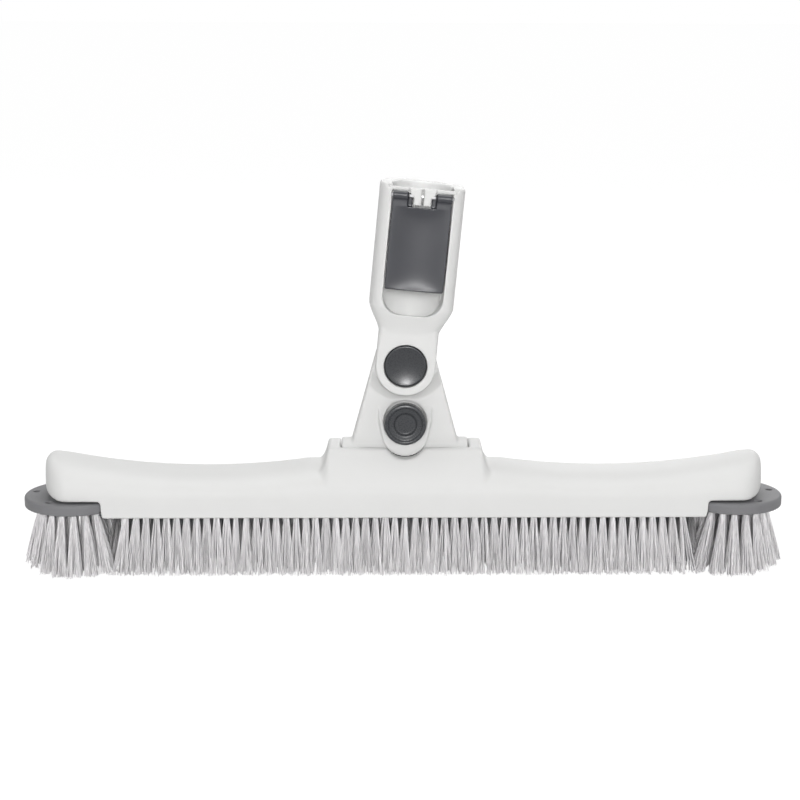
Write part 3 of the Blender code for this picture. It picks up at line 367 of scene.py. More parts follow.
pad_room = prism([(x, z + hinge.z) for x, z in pad_outline()], -2 * half_depth, 0.0, "Y")
plate_pocket = block(
    (plate_low.x - FIT, plate_low.y - FIT, base - WALL),
    (plate_high.x + FIT, plate_high.y + FIT, plate_high.z + FIT),
)
pin_hole = rod(pin_high.y + FIT, -block_foot, block_foot, "X", (0.0, hinge.z))
head_changes = [
    (JOIN, hinge_block()),
    (CUT, trough()),
    (CUT, pad_room),
    (CUT, plate_pocket),
    (CUT, pin_hole),
]
head = moulded("moulded_head", head_body(), head_changes, HEAD_VOXEL, HEAD_PASSES)
head.data.materials.append(white_abs)
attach(head, "head")
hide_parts("head_shell")


# Bristle plate: the dark moulded strip under the head that the tufts are stapled into.
# Four screws hold it up in the head. The tufts' backing covers it from below.

# Graphite ABS: a dark, slightly cool grey, satin, with the white shell's spark-eroded grain.
graphite_abs = moulded_plastic(
    "graphite_abs", "#33343A", "#25262B", roughness=0.36, grain=GRAIN, depth=0.00003, ior=1.50
)


def finish_node(node, material):
    """Give a piece that is shown as packed its finish."""
    body = frame["nodes"][node]
    body.data.materials.clear()
    body.data.materials.append(material)


finish_node("bristle_plate", graphite_abs)


# Screws of the plate and the bumpers: stainless pan heads with a cross recess, driven up from below
# before the tufts are closed round them. One screw is modelled and set on every screw place.

PLATE_SCREWS = 4
SCREW_RADIUS = 0.0015
SCREW_HEAD_RADIUS = 0.0024
SCREW_HEAD_HEIGHT = 0.0016
SCREW_REACH = 0.0120
RECESS_WIDTH = 0.0006
RECESS_DEPTH = 0.0009
RECESS_SHARE = 0.6  # of the head's radius
POINT_SHARE = 0.3  # of the shank's radius, at its point
SHARP_ANGLE = 35  # degrees; edges that turn more stay crisp


def turned(profile, sides, axis="Z", centre=(0.0, 0.0)):
    """Solid of revolution from (radius, level) points, with flat ends."""
    bm = bmesh.new()
    verts = [bm.verts.new((radius, 0.0, level)) for radius, level in profile]
    edges = [bm.edges.new(pair) for pair in zip(verts, verts[1:])]
    bmesh.ops.spin(bm, geom=verts + edges, axis=(0, 0, 1), cent=(0, 0, 0), angle=math.tau, steps=sides)
    bmesh.ops.remove_doubles(bm, verts=bm.verts, dist=SAME_POINT)
    bmesh.ops.holes_fill(bm, edges=[e for e in bm.edges if e.is_boundary])
    quarter = math.pi / 2
    lean = {"X": Matrix.Rotation(quarter, 4, "Y"), "Y": Matrix.Rotation(-quarter, 4, "X"), "Z": Matrix()}
    shift = Matrix.Translation(spot(axis, centre[0], centre[1], 0.0))
    bmesh.ops.transform(bm, matrix=shift @ lean[axis], verts=bm.verts)
    return bm


def screw_shape(name, head_radius, head_height, shank_radius, reach):
    """Pan-head screw; its head's seat is at the origin and its shank points along +Z."""
    crown = arc((0.0, 0.0), 1.0, 80, 20, 6)
    profile = [(head_radius * x, -head_height * z) for x, z in crown]
    profile += [(head_radius, 0.0), (shank_radius, 0.0), (shank_radius, reach - shank_radius)]
    profile.append((shank_radius * POINT_SHARE, reach))
    half = RECESS_WIDTH / 2
    arm = head_radius * RECESS_SHARE
    top = -2 * head_height
    floor = -head_height + RECESS_DEPTH
    recess = [(CUT, block((-x, -y, top), (x, y, floor))) for x, y in ((half, arm), (arm, half))]
    result = keep(name, *worked(name, turned(profile, 24), recess))
    result.data.shade_smooth()
    result.data.set_sharp_from_angle(angle=math.radians(SHARP_ANGLE))
    return result


def node_tree(name, sockets):
    """Empty geometry tree with named inputs; gives the tree and its input node."""
    tree = bpy.data.node_groups.new(name, "GeometryNodeTree")
    tree.interface.new_socket("Geometry", in_out="INPUT", socket_type="NodeSocketGeometry")
    for socket, kind in sockets.items():
        tree.interface.new_socket(socket, in_out="INPUT", socket_type=kind)
    tree.interface.new_socket("Geometry", in_out="OUTPUT", socket_type="NodeSocketGeometry")
    return tree, tree.nodes.new("NodeGroupInput").outputs


def grown(name, tree, points, values, reach=None):
    """Plain mesh that a geometry tree makes on a set of points; reach is a vector for each point."""
    mesh = bpy.data.meshes.new(f"{name}_points")
    mesh.from_pydata(points, [], [])
    if reach:
        column = mesh.attributes.new("reach", "FLOAT_VECTOR", "POINT")
        for item, vector in zip(column.data, reach):
            item.vector = vector
    work = bpy.data.objects.new(f"{name}_work", mesh)
    bpy.context.collection.objects.link(work)
    modifier = work.modifiers.new(name, "NODES")
    modifier.node_group = tree
    for item in tree.interface.items_tree:
        if item.in_out == "INPUT" and item.name in values:
            modifier[item.identifier] = values[item.name]
    return keep(name, work)


screw_tree, screw_in = node_tree(
    "set_screws", {"Screw": "NodeSocketObject", "Turn": "NodeSocketRotation", "Metal": "NodeSocketMaterial"}
)
screw_look = add_node(screw_tree, "GeometryNodeObjectInfo", {"Object": screw_in["Screw"]})
screw_set = add_node(
    screw_tree,
    "GeometryNodeInstanceOnPoints",
    {
        "Points": screw_in["Geometry"],
        "Instance": screw_look.outputs["Geometry"],
        "Rotation": screw_in["Turn"],
    },
)
screw_real = add_node(
    screw_tree, "GeometryNodeRealizeInstances", {"Geometry": screw_set.outputs["Instances"]}
)
screw_metal = add_node(
    screw_tree,
    "GeometryNodeSetMaterial",
    {"Geometry": screw_real.outputs["Geometry"], "Material": screw_in["Metal"]},
)
add_node(screw_tree, "NodeGroupOutput", {"Geometry": screw_metal.outputs["Geometry"]})


def satin_steel(name):
    """Stainless steel: bright neutral grey, finely uneven, so that the highlight spreads."""
    grit = 0.0002
    smooth = 0.22
    rough = 0.38
    material, tree, shader, place = new_material(name)
    shader.inputs["Base Color"].default_value = linear("#C9C9CB")
    shader.inputs["Metallic"].default_value = 1.0
    fine = add_node(tree, "ShaderNodeTexNoise", {"Vector": place, "Scale": 1 / grit, "Detail": 2.0})
    gloss = add_node(
        tree, "ShaderNodeMapRange", {"Value": fine.outputs["Fac"], "To Min": smooth, "To Max": rough}
    )
    tree.links.new(gloss.outputs["Result"], shader.inputs["Roughness"])
    return material


# Stainless steel of the screws, springs and pins: bright, with a gloss that is a little uneven.
stainless = satin_steel("stainless")

screw_pattern = screw_shape(
    "screw_pattern", SCREW_HEAD_RADIUS, SCREW_HEAD_HEIGHT, SCREW_RADIUS, SCREW_REACH
)
head_screw_nodes = [f"plate_screw_{k}" for k in range(1, PLATE_SCREWS + 1)]
head_screw_nodes += [f"bumper_screw_{side}_{k}" for side in ("left", "right") for k in (1, 2)]
head_screw_places = []
for node in head_screw_nodes:
    low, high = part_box(node)
    head_screw_places.append(((low.x + high.x) / 2, (low.y + high.y) / 2, high.z - SCREW_REACH))
head_screws = grown(
    "head_screws", screw_tree, head_screw_places, {"Screw": screw_pattern, "Metal": stainless}
)
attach(head_screws, "head")
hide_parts(*head_screw_nodes)


# Main bristles: stiff nylon filaments in tufts, five rows deep. The tufts stand apart at the plate,
# where it is dark between them, and splay until they merge; their tips are trimmed, not quite even.

BRISTLE_COLUMNS = 29  # each way from the middle
BRISTLE_ROWS = 2  # each way from the middle
TUFT_PITCH = 0.00585
ROW_PITCH = 0.0090
TUFT_ROOT = 0.0010  # half of a tuft's width at the plate
TUFT_TIP = 0.0045
FILAMENT = 0.00026  # radius
FILAMENTS = 14
FILAMENT_POINTS = 5
FILAMENT_SIDES = 3
OUTER_ROW = 3  # the rows that show are drawn this much denser
RAGGED = 0.0014
BOW = 0.0005
FRONT_SPLAY = 0.0030
END_SPLAY = 0.0070
END_SPLAY_POWER = 12  # only the last few columns lean out
BACKING = 0.0020
ROOT_SHADE = 0.0330  # length over which the inner rows' painted shade darkens them
MAIN_SEED = 11
INNER_SEED = 12

tuft_tree, tuft_in = node_tree(
    "tufts",
    {
        "Filaments": "NodeSocketInt",
        "Root": "NodeSocketFloat",
        "Tip": "NodeSocketFloat",
        "Filament": "NodeSocketFloat",
        "Ragged": "NodeSocketFloat",
        "Bow": "NodeSocketFloat",
        "Seed": "NodeSocketInt",
        "Nylon": "NodeSocketMaterial",
    },
)


def tuft_math(operation, *values):
    """Sum in the tuft tree; gives its result."""
    return add_node(tuft_tree, "ShaderNodeMath", dict(enumerate(values)), operation=operation).outputs[0]


def tuft_random(geometry, name, low, high, seed):
    """Store a random vector on each filament; gives the geometry."""
    limits = {0: low, 1: high, "Seed": seed}
    draw = add_node(tuft_tree, "FunctionNodeRandomValue", limits, data_type="FLOAT_VECTOR")
    kept = add_node(
        tuft_tree,
        "GeometryNodeStoreNamedAttribute",
        {"Geometry": geometry, "Name": name, "Value": draw.outputs[0]},
        data_type="FLOAT_VECTOR",
        domain="POINT",
    )
    return kept.outputs["Geometry"]


def tuft_vector(name):
    """Parts of a vector that was stored on each filament."""
    stored = add_node(
        tuft_tree, "GeometryNodeInputNamedAttribute", {"Name": name}, data_type="FLOAT_VECTOR"
    )
    parts = add_node(tuft_tree, "ShaderNodeSeparateXYZ", {0: stored.outputs["Attribute"]})
    return parts.outputs["X"], parts.outputs["Y"], parts.outputs["Z"]


copies = add_node(
    tuft_tree,
    "GeometryNodeDuplicateElements",
    {"Geometry": tuft_in["Geometry"], "Amount": tuft_in["Filaments"]},
    domain="POINT",
)
spread_seeds = tuft_random(copies.outputs["Geometry"], "spread", (-1, -1, 0), (1, 1, 1), tuft_in["Seed"])
bow_seeds = tuft_random(spread_seeds, "bow", (-1, -1, -1), (1, 1, 1), tuft_math("ADD", tuft_in["Seed"], 1))
strand = add_node(tuft_tree, "GeometryNodeCurvePrimitiveLine", {"Start": (0, 0, 0), "End": (0, 0, 1)})
jointed = add_node(
    tuft_tree, "GeometryNodeResampleCurve", {"Curve": strand.outputs["Curve"], "Count": FILAMENT_POINTS}
)
planted = add_node(
    tuft_tree, "GeometryNodeInstanceOnPoints", {"Points": bow_seeds, "Instance": jointed.outputs["Curve"]}
)
strands = add_node(
    tuft_tree, "GeometryNodeRealizeInstances", {"Geometry": planted.outputs["Instances"]}
)
along = add_node(tuft_tree, "GeometryNodeSplineParameter").outputs["Factor"]
width = add_node(
    tuft_tree,
    "ShaderNodeMapRange",
    {"Value": along, "To Min": tuft_in["Root"], "To Max": tuft_in["Tip"]},
).outputs["Result"]
bulge = tuft_math("MULTIPLY", tuft_math("SINE", tuft_math("MULTIPLY", along, math.pi)), tuft_in["Bow"])
spread_x, spread_y, spread_z = tuft_vector("spread")
bow_x, bow_y = tuft_vector("bow")[:2]
reach_x, reach_y, reach_z = tuft_vector("reach")
side_x = tuft_math("MULTIPLY_ADD", spread_x, width, tuft_math("MULTIPLY", reach_x, along))
side_y = tuft_math("MULTIPLY_ADD", spread_y, width, tuft_math("MULTIPLY", reach_y, along))
length = tuft_math("MULTIPLY_ADD", spread_z, tuft_in["Ragged"], reach_z)
splay = add_node(
    tuft_tree,
    "ShaderNodeCombineXYZ",
    {
        "X": tuft_math("MULTIPLY_ADD", bow_x, bulge, side_x),
        "Y": tuft_math("MULTIPLY_ADD", bow_y, bulge, side_y),
        "Z": tuft_math("MULTIPLY", tuft_math("SUBTRACT", length, 1.0), along),
    },
)
splayed = add_node(
    tuft_tree,
    "GeometryNodeSetPosition",
    {"Geometry": strands.outputs["Geometry"], "Offset": splay.outputs["Vector"]},
)
ring = add_node(
    tuft_tree,
    "GeometryNodeCurvePrimitiveCircle",
    {"Resolution": FILAMENT_SIDES, "Radius": tuft_in["Filament"]},
)
bristle_mesh = add_node(
    tuft_tree,
    "GeometryNodeCurveToMesh",
    {"Curve": splayed.outputs["Geometry"], "Profile Curve": ring.outputs["Curve"], "Fill Caps": True},
)
bristle_look = add_node(
    tuft_tree,
    "GeometryNodeSetMaterial",
    {"Geometry": bristle_mesh.outputs["Mesh"], "Material": tuft_in["Nylon"]},
)
bristle_real = add_node(
    tuft_tree, "GeometryNodeRealizeInstances", {"Geometry": bristle_look.outputs["Geometry"]}
)
add_node(tuft_tree, "NodeGroupOutput", {"Geometry": bristle_real.outputs["Geometry"]})


def nylon_filament(name, root=None):
    """Nylon filament: pale grey, semi-gloss, each filament a little lighter or darker than the next."""
    filament_width = 0.0010
    run_length = 0.0300
    material, tree, shader, place = new_material(name)
    shader.inputs["IOR"].default_value = 1.53
    shader.inputs["Roughness"].default_value = 0.45
    shader.inputs["Sheen Weight"].default_value = 0.5
    stretch = add_node(
        tree,
        "ShaderNodeMapping",
        {"Vector": place, "Scale": (1 / filament_width, 1 / filament_width, 1 / run_length)},
    )
    streak = add_node(
        tree, "ShaderNodeTexNoise", {"Vector": stretch.outputs["Vector"], "Scale": 1.0, "Detail": 1.0}
    )
    tone = add_node(tree, "ShaderNodeValToRGB", {"Fac": streak.outputs["Fac"]})
    for stop, position, colour in zip(tone.color_ramp.elements, (0.32, 0.60), ("#D0CED0", "#F0EEEF")):
        stop.position = position
        stop.color = linear(colour)
    colour = tone.outputs["Color"]
    # A root colour paints shade on the filaments: darker towards the plate, where little light gets in.
    if root:
        height = add_node(tree, "ShaderNodeSeparateXYZ", {0: place}).outputs["Z"]
        depth = add_node(
            tree,
            "ShaderNodeMapRange",
            {"Value": height, "From Min": plate_low.z - ROOT_SHADE, "From Max": plate_low.z},
            interpolation_type="SMOOTHSTEP",
        )
        tones = {0: depth.outputs["Result"], 6: colour, 7: linear(root)}
        colour = add_node(tree, "ShaderNodeMix", tones, data_type="RGBA", blend_type="MULTIPLY").outputs[2]
    tree.links.new(colour, shader.inputs["Base Color"])
    return material


# Nylon filament, drawn smooth: pale grey and semi-gloss. A real filament is about 0.4 mm thick,
# finer than a pixel, so its change of tone is drawn over 1 mm. The inner rows carry a painted shade
# that darkens them towards the plate, where the dense tufts let hardly any light in.
nylon = nylon_filament("nylon_filament")
painted_shade_nylon = nylon_filament("inner_nylon_filament", "#121214")
tuft_sizes = {
    "Filaments": FILAMENTS,
    "Root": TUFT_ROOT,
    "Tip": TUFT_TIP,
    "Filament": FILAMENT,
    "Ragged": RAGGED,
    "Bow": BOW,
    "Nylon": nylon,
}


def joined(body, extra, slot=0):
    """Add another object's mesh to a piece, in one of the piece's materials."""
    both = bmesh.new()
    both.from_mesh(body.data)
    count = len(both.faces)
    both.from_mesh(extra.data)
    both.faces.ensure_lookup_table()
    for face in both.faces[count:]:
        face.material_index = slot
    both.to_mesh(body.data)
    both.free()
    bpy.data.objects.remove(extra, do_unlink=True)


screw_columns = {round(place[0] / TUFT_PITCH) for place in head_screw_places[:PLATE_SCREWS]}
rows = {"outer": ([], []), "inner": ([], [])}
for row in range(-BRISTLE_ROWS, BRISTLE_ROWS + 1):
    outer = abs(row) == BRISTLE_ROWS
    roots, reaches = rows["outer" if outer else "inner"]
    offset = row == BRISTLE_ROWS
    last = BRISTLE_COLUMNS - (row == -BRISTLE_ROWS)
    for column in range(-last, last + 1 - offset):
        if row == 0 and column in screw_columns:
            continue
        place = column + offset / 2
        outward = math.copysign((abs(place) / BRISTLE_COLUMNS) ** END_SPLAY_POWER, place)
        times = OUTER_ROW if outer else 1
        roots += [(place * TUFT_PITCH, row * ROW_PITCH, plate_low.z)] * times
        reaches += [(END_SPLAY * outward, FRONT_SPLAY * row / BRISTLE_ROWS, -plate_low.z)] * times
outer_sizes = {**tuft_sizes, "Seed": MAIN_SEED}
inner_sizes = {**tuft_sizes, "Nylon": painted_shade_nylon, "Seed": INNER_SEED}
main_tufts = grown("main_tufts", tuft_tree, rows["outer"][0], outer_sizes, rows["outer"][1])
joined(main_tufts, grown("inner_tufts", tuft_tree, rows["inner"][0], inner_sizes, rows["inner"][1]), 1)
main_tufts.data.materials.append(painted_shade_nylon)
backing = block((plate_low.x, plate_low.y, base), (plate_high.x, plate_high.y, base + BACKING))
joined(main_tufts, shape("backing", backing), 2)
main_tufts.data.materials.append(graphite_abs)
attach(main_tufts, "head")
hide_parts("main_bristles")


# End bumpers and their fans of bristles: soft grey rubber discs under both ends of the head, which
# keep it off the pool's wall, with tufts that lean out all round so that corners are brushed too.

BUMPER_ROUND = 0.0015
DRAIN_RADIUS = 0.0021
DRAIN_CIRCLE = 0.0240
DRAIN_ANGLES = (8, -60)
GROOVE_WIDTH = 0.0006
GROOVE_DEPTH = 0.0004
GROOVE_ANGLES = (-100, -68, -36, -4, 28, 60, 92)
FAN_SPREAD = 0.0066
FAN_SHORT = 0.0003  # the fans are trimmed this much shorter
FAN_CLOSE = 2.00  # more lean towards the main field, to close the gap at the tips
FAN_RIM = 0.0098  # from the bumper's edge to the outer ring of tufts
FAN_ROUND = 0.0042  # and still shorter towards the tip of the head
FAN_MARGIN = 0.0080  # from the bumper's edge to the tufts' backing
FAN_RINGS = 3
FAN_RING_STEP = 0.0075
FAN_PITCH = 0.0066
FAN_FILAMENTS = 64
FAN_TIP = 0.0044
TUFT_SQUARE = 0.0033  # side of a tuft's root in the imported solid
FAN_SEED = 23
BUMPER_VOXEL = 0.0004

fan_sizes = {**tuft_sizes, "Filaments": FAN_FILAMENTS, "Tip": FAN_TIP}
bumper_radius = bumper_high.y
bumper_x = bumper_high.x - bumper_radius
bumper_flat = bumper_x - bumper_low.x
screw_offset = abs(head_screw_places[-1][1])

# Grey thermoplastic rubber: matt, mid grey, a little coarser than the shell.
grey_rubber = moulded_plastic(
    "grey_rubber", "#6E6E70", "#68686A", roughness=0.62, grain=0.0009, depth=0.00005, ior=1.50
)


def bumper_outline(side, radius):
    """Round disc with a flat side towards the middle of the head."""
    open_angle = math.degrees(math.acos(bumper_flat / radius))
    points = arc((0.0, 0.0), radius, -180 + open_angle, 180 - open_angle, 120)
    return [(side * (bumper_x + x), y) for x, y in points]


def slab(outline, low, high, axis, low_round=0.0, high_round=0.0, steps=4):
    """Straight solid with the rims of its two faces rounded."""
    bm = prism(outline, low, high, axis)
    index = "XYZ".index(axis)
    for level, radius in ((low, low_round), (high, high_round)):
        if radius > 0:
            rim = [e for e in bm.edges if all(abs(v.co[index] - level) < SAME_POINT for v in e.verts)]
            bmesh.ops.bevel(bm, geom=rim, offset=radius, segments=steps, profile=0.5, affect="EDGES")
    return bm


for side, name in ((-1, "left"), (1, "right")):
    disc = bumper_outline(side, bumper_radius)
    body = slab(disc, bumper_low.z, bumper_high.z, "Z", BUMPER_ROUND, BUMPER_ROUND)
    changes = []
    for angle in DRAIN_ANGLES:
        x, y = round_point((0.0, 0.0), DRAIN_CIRCLE, angle)
        place = (side * (bumper_x + x), y)
        changes.append((CUT, rod(DRAIN_RADIUS, bumper_low.z - FIT, bumper_high.z + FIT, "Z", place, 24)))
    for angle in GROOVE_ANGLES:
        groove = block(
            (bumper_radius - GROOVE_DEPTH, -GROOVE_WIDTH / 2, bumper_low.z - FIT),
            (bumper_radius + GROOVE_DEPTH, GROOVE_WIDTH / 2, bumper_high.z + FIT),
        )
        turn = Matrix.Rotation(math.radians(angle), 4, "Z")
        mirror = Matrix.Diagonal((side, 1.0, 1.0, 1.0))
        on_rim = Matrix.Translation((side * bumper_x, 0, 0)) @ mirror @ turn
        bmesh.ops.transform(groove, matrix=on_rim, verts=groove.verts)
        changes.append((CUT, groove))
    bumper = moulded(f"bumper_{name}", body, changes, BUMPER_VOXEL)
    bumper.data.materials.append(grey_rubber)
    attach(bumper, "head")
    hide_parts(f"end_bumper_{name}")

    roots = []
    reaches = []
    outer_ring = bumper_radius - FAN_RIM
    for ring_number in range(FAN_RINGS):
        radius = outer_ring - ring_number * FAN_RING_STEP
        count = round(math.tau * radius / FAN_PITCH)
        for k in range(count):
            x, y = round_point((0.0, 0.0), radius, 360 * k / count)
            to_screw = math.hypot(x, abs(y) - screw_offset)
            if to_screw < SCREW_HEAD_RADIUS + FIT + TUFT_SQUARE or x < TUFT_SQUARE - bumper_flat:
                continue
            roots.append((side * (bumper_x + x), y, bumper_low.z))
            lean = FAN_SPREAD / outer_ring
            inward = 1 + (FAN_CLOSE - 1) * max(-x / outer_ring, 0.0)
            trim = FAN_SHORT + FAN_ROUND * max(x / outer_ring, 0.0) ** 2
            reaches.append((side * x * lean * inward, y * lean, trim - bumper_low.z))
    fan = grown(f"fan_tufts_{name}", tuft_tree, roots, {**fan_sizes, "Seed": FAN_SEED + side}, reaches)
    backing = prism(bumper_outline(side, bumper_radius - FAN_MARGIN), base, base + BACKING, "Z")
    joined(fan, shape("backing", backing), 1)
    fan.data.materials.append(graphite_abs)
    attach(fan, "head")
    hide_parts(f"end_bristles_{name}")


# Tilt hinge: a steel pin through the ears and the neck's barrel, and on it the notched drum of the
# tilt lock, which is keyed to the head. The drum shows in the barrel's slot, mostly from behind, and
# the pin at its ends.

finish_node("tilt_hinge_pin", stainless)
finish_node("index_drum", graphite_abs)


# Neck link: the white moulding between the head and the handle. Its barrel turns between the ears, a
# pad stands out round the lower button, and its round tongue carries the handle's swivel.

NECK_FRONT = 0.0065
NECK_ROUND = 0.0025
NECK_TAPER = 15.2
TONGUE_RADIUS = 0.0180
REAR_ROUND = 0.0008
SPLIT = 0.0010  # the neck's face under the handle, in front of the hinge's axis
PAD_FRONT = 0.0105
PAD_SLOPE = 0.0022
BUTTON_RADIUS = 0.0123
TILT_BORE_FLOOR = 0.0052
SLAB_HALF = 0.0174  # radius of the handle's round end
SWEEP_FLARE = 0.0062  # the neck's front slopes down to the handle's round end
SWEEP_FLOOR = 0.0016
SWIVEL_BOSS_RADIUS = 0.0120
GEAR_TIP = 0.0090
POST_RADIUS = 0.0034
TONGUE_FLOOR = 0.0020
NECK_VOXEL = 0.0006
NECK_PASSES = 6

pivot = Vector(joints["handle_swivel"]["pos_m"])
pivot_rise = pivot.z - hinge.z
swivel_from, swivel_to = joints["handle_swivel"]["range_deg"]
swivel_each_way = (swivel_to - swivel_from) / 2
cover_low, cover_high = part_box("neck_cover")
drum_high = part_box("index_drum")[1]
bolt_low, bolt_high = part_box("tilt_bolt")
washer_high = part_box("swivel_washer")[1]
spring_low, spring_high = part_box("tilt_spring")
coil_low, coil_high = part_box("swivel_spring")
neck_place = Matrix.Translation(hinge)
neck_rear = cover_high.y


def neck_outline():
    """Front view of the neck: a round tongue on top of sides that spread towards the barrel."""
    lean = math.radians(NECK_TAPER)
    foot = TONGUE_RADIUS * math.cos(lean) + (pivot_rise + TONGUE_RADIUS * math.sin(lean)) * math.tan(lean)
    top = arc((0.0, pivot_rise), TONGUE_RADIUS, NECK_TAPER, 180 - NECK_TAPER, 64)
    return [(foot, 0.0)] + top + [(-foot, 0.0)]


def handle_sweep(flare, level):
    """Room for the handle's round end at every swivel angle; a flare is widest at both sides."""
    steps = 64
    points = []
    for k in range(steps + 1):
        angle = 180 + swivel_each_way + (180 - 2 * swivel_each_way) * k / steps
        radius = SLAB_HALF + RUN + flare * (1 + abs(2 * k / steps - 1)) / 2
        points.append(round_point((0.0, pivot_rise), radius, angle))
    reach = 3 * SLAB_HALF
    x = points[-1][0] + reach * math.sin(math.radians(swivel_each_way))
    z = points[-1][1] + reach * math.cos(math.radians(swivel_each_way))
    return [(a, level, b) for a, b in points + [(x, z), (-x, z)]]


def shave(bm, point, normal):
    """Slice off what lies beyond a plane and close the cut."""
    geometry = bm.verts[:] + bm.edges[:] + bm.faces[:]
    bmesh.ops.bisect_plane(bm, geom=geometry, plane_co=point, plane_no=normal, clear_outer=True)
    bmesh.ops.holes_fill(bm, edges=[e for e in bm.edges if e.is_boundary])
    return bm


barrel_end = neck_high.x
barrel_edge = BARREL_RADIUS - REAR_ROUND
barrel_half = [(barrel_edge, -barrel_end), (BARREL_RADIUS, -barrel_end + REAR_ROUND)]
barrel = turned(barrel_half + [(radius, -x) for radius, x in reversed(barrel_half)], 96, "X")
pad = slab(pad_outline(), -PAD_FRONT, -SPLIT, "Y", PAD_SLOPE)
pad_root = NECK_FRONT - NECK_ROUND
pad_top = TILT_BUTTON_RISE + PAD_HEIGHT
shave(pad, (0.0, -pad_root, pad_top), (0.0, -PAD_HEIGHT, PAD_FRONT - pad_root))
swivel_axis = (0.0, pivot_rise)
sweep_top = SWEEP_FLOOR + 2 * (NECK_FRONT - SWEEP_FLOOR)
drum_gap = drum_high.x + RUN
pocket_floor = coil_high.y + FIT
tongue_back = pocket_floor + TONGUE_FLOOR
cavity_half = cover_high.x / 2
lock_room = block(
    (-cavity_half, -bolt_high.y - RUN, BARREL_RADIUS + RUN),
    (cavity_half, 2 * neck_rear, spring_high.z + FIT - hinge.z),
)
cover_room = block(
    (cover_low.x - FIT, cover_low.y - FIT, cover_low.z - FIT - hinge.z),
    (cover_high.x + FIT, 2 * neck_rear, cover_high.z + FIT - hinge.z),
)
neck_changes = [
    (JOIN, barrel),
    (JOIN, pad),
    (JOIN, rod(SWIVEL_BOSS_RADIUS, 0.0, neck_high.y, "Y", swivel_axis)),
    (CUT, loft([handle_sweep(0.0, -2 * half_depth), handle_sweep(0.0, -SPLIT)])),
    (CUT, loft([handle_sweep(2 * SWEEP_FLARE, -sweep_top), handle_sweep(0.0, -SWEEP_FLOOR)])),
    (CUT, rod(GEAR_TIP + RUN, -NECK_FRONT, pocket_floor, "Y", swivel_axis)),
    (CUT, rod(POST_RADIUS + RUN, 0.0, neck_high.y + FIT, "Y", swivel_axis)),
    (CUT, rod(washer_high.x + RUN, tongue_back, neck_high.y + FIT, "Y", swivel_axis)),
    (CUT, rod(trough_radius + FIT, -drum_gap, drum_gap, "X")),
    (CUT, rod(pin_high.y + RUN, -2 * barrel_end, 2 * barrel_end, "X")),
    (CUT, rod(BUTTON_RADIUS + RUN, -2 * PAD_FRONT, -TILT_BORE_FLOOR, "Y", (0.0, TILT_BUTTON_RISE))),
    (CUT, lock_room),
    (CUT, cover_room),
]
neck_body = slab(neck_outline(), -NECK_FRONT, neck_rear, "Y", NECK_ROUND, REAR_ROUND)
neck = moulded("moulded_neck", neck_body, neck_changes, NECK_VOXEL, NECK_PASSES, neck_place)
neck.data.materials.append(white_abs)
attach(neck, "neck")
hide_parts("neck_link")


# Neck cover: the white lid on the back of the neck, behind the tilt lock, let in flush and held by
# four small stainless screws at its corners.

COVER_SCREWS = 4
COVER_SCREW_RADIUS = 0.0011
COVER_SCREW_HEAD = 0.0019
COVER_SCREW_SUNK = 0.0012
COVER_SCREW_REACH = 0.0070
COVER_VOXEL = 0.0003

cover_screw_nodes = [f"cover_screw_{k}" for k in range(1, COVER_SCREWS + 1)]
cover_screw_places = []
for node in cover_screw_nodes:
    low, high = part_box(node)
    cover_screw_places.append(((low.x + high.x) / 2, low.y + COVER_SCREW_REACH, (low.z + high.z) / 2))
cover_changes = []
for x, y, z in cover_screw_places:
    sunk = cover_high.y - COVER_SCREW_SUNK
    cover_changes.append((CUT, rod(COVER_SCREW_HEAD + FIT, sunk, 2 * neck_rear, "Y", (x, z), 32)))
    cover_changes.append((CUT, rod(COVER_SCREW_RADIUS + FIT, 0.0, 2 * neck_rear, "Y", (x, z), 32)))
cover = moulded("back_cover", block(cover_low, cover_high), cover_changes, COVER_VOXEL)
cover.data.materials.append(white_abs)
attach(cover, "neck")
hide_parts("neck_cover")

small_pattern = screw_shape(
    "small_pattern", COVER_SCREW_HEAD, COVER_SCREW_SUNK - FIT, COVER_SCREW_RADIUS, COVER_SCREW_REACH
)
to_front = (math.pi / 2, 0.0, 0.0)
cover_screws = grown(
    "cover_screws",
    screw_tree,
    cover_screw_places,
    {"Screw": small_pattern, "Turn": to_front, "Metal": stainless},
)
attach(cover_screws, "neck")
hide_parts(*cover_screw_nodes)


# Tilt button and its lock: a turned-looking dark dish with a stepped recess for the thumb, on a
# ramped stem that lifts the bolt out of the drum; a small steel spring presses the bolt down.

DISH_RADIUS = 0.0066
DISH_DEPTH = 0.0026
# Steps at the dish's edge and at the rim: out from the radius, and down from the button's front.
DISH_EDGE = ((-0.0008, DISH_DEPTH), (-0.0001, 0.0020), (0.0002, 0.0015), (0.0008, 0.0012))
BUTTON_RIM = (
    (-0.0027, 0.0010),
    (-0.0022, 0.0003),
    (-0.0016, 0.0000),
    (-0.0006, 0.0002),
    (-0.0001, 0.0009),
    (0.0000, 0.0018),
)
AXIS_HOLE = 0.0002  # radius that is closed flat on a turned piece's axis
STEM_WIDTH = 0.0060
STEM_HEIGHT = 0.0060
STEM_TIP = 0.0010
SPRING_WIRE = 0.0008
BOLT_SPRING_TURNS = 4
BUTTON_LEAD = 0.0018  # bevel at the back, clear of the soft corner of the neck's bore
BUTTON_VOXEL = 0.00022

# Button ABS: a darker charcoal than the lever, with a smoother face that catches the light on its steps.
button_abs = moulded_plastic(
    "button_abs", "#292B2F", "#242629", roughness=0.28, grain=GRAIN, depth=0.00002, ior=1.50
)

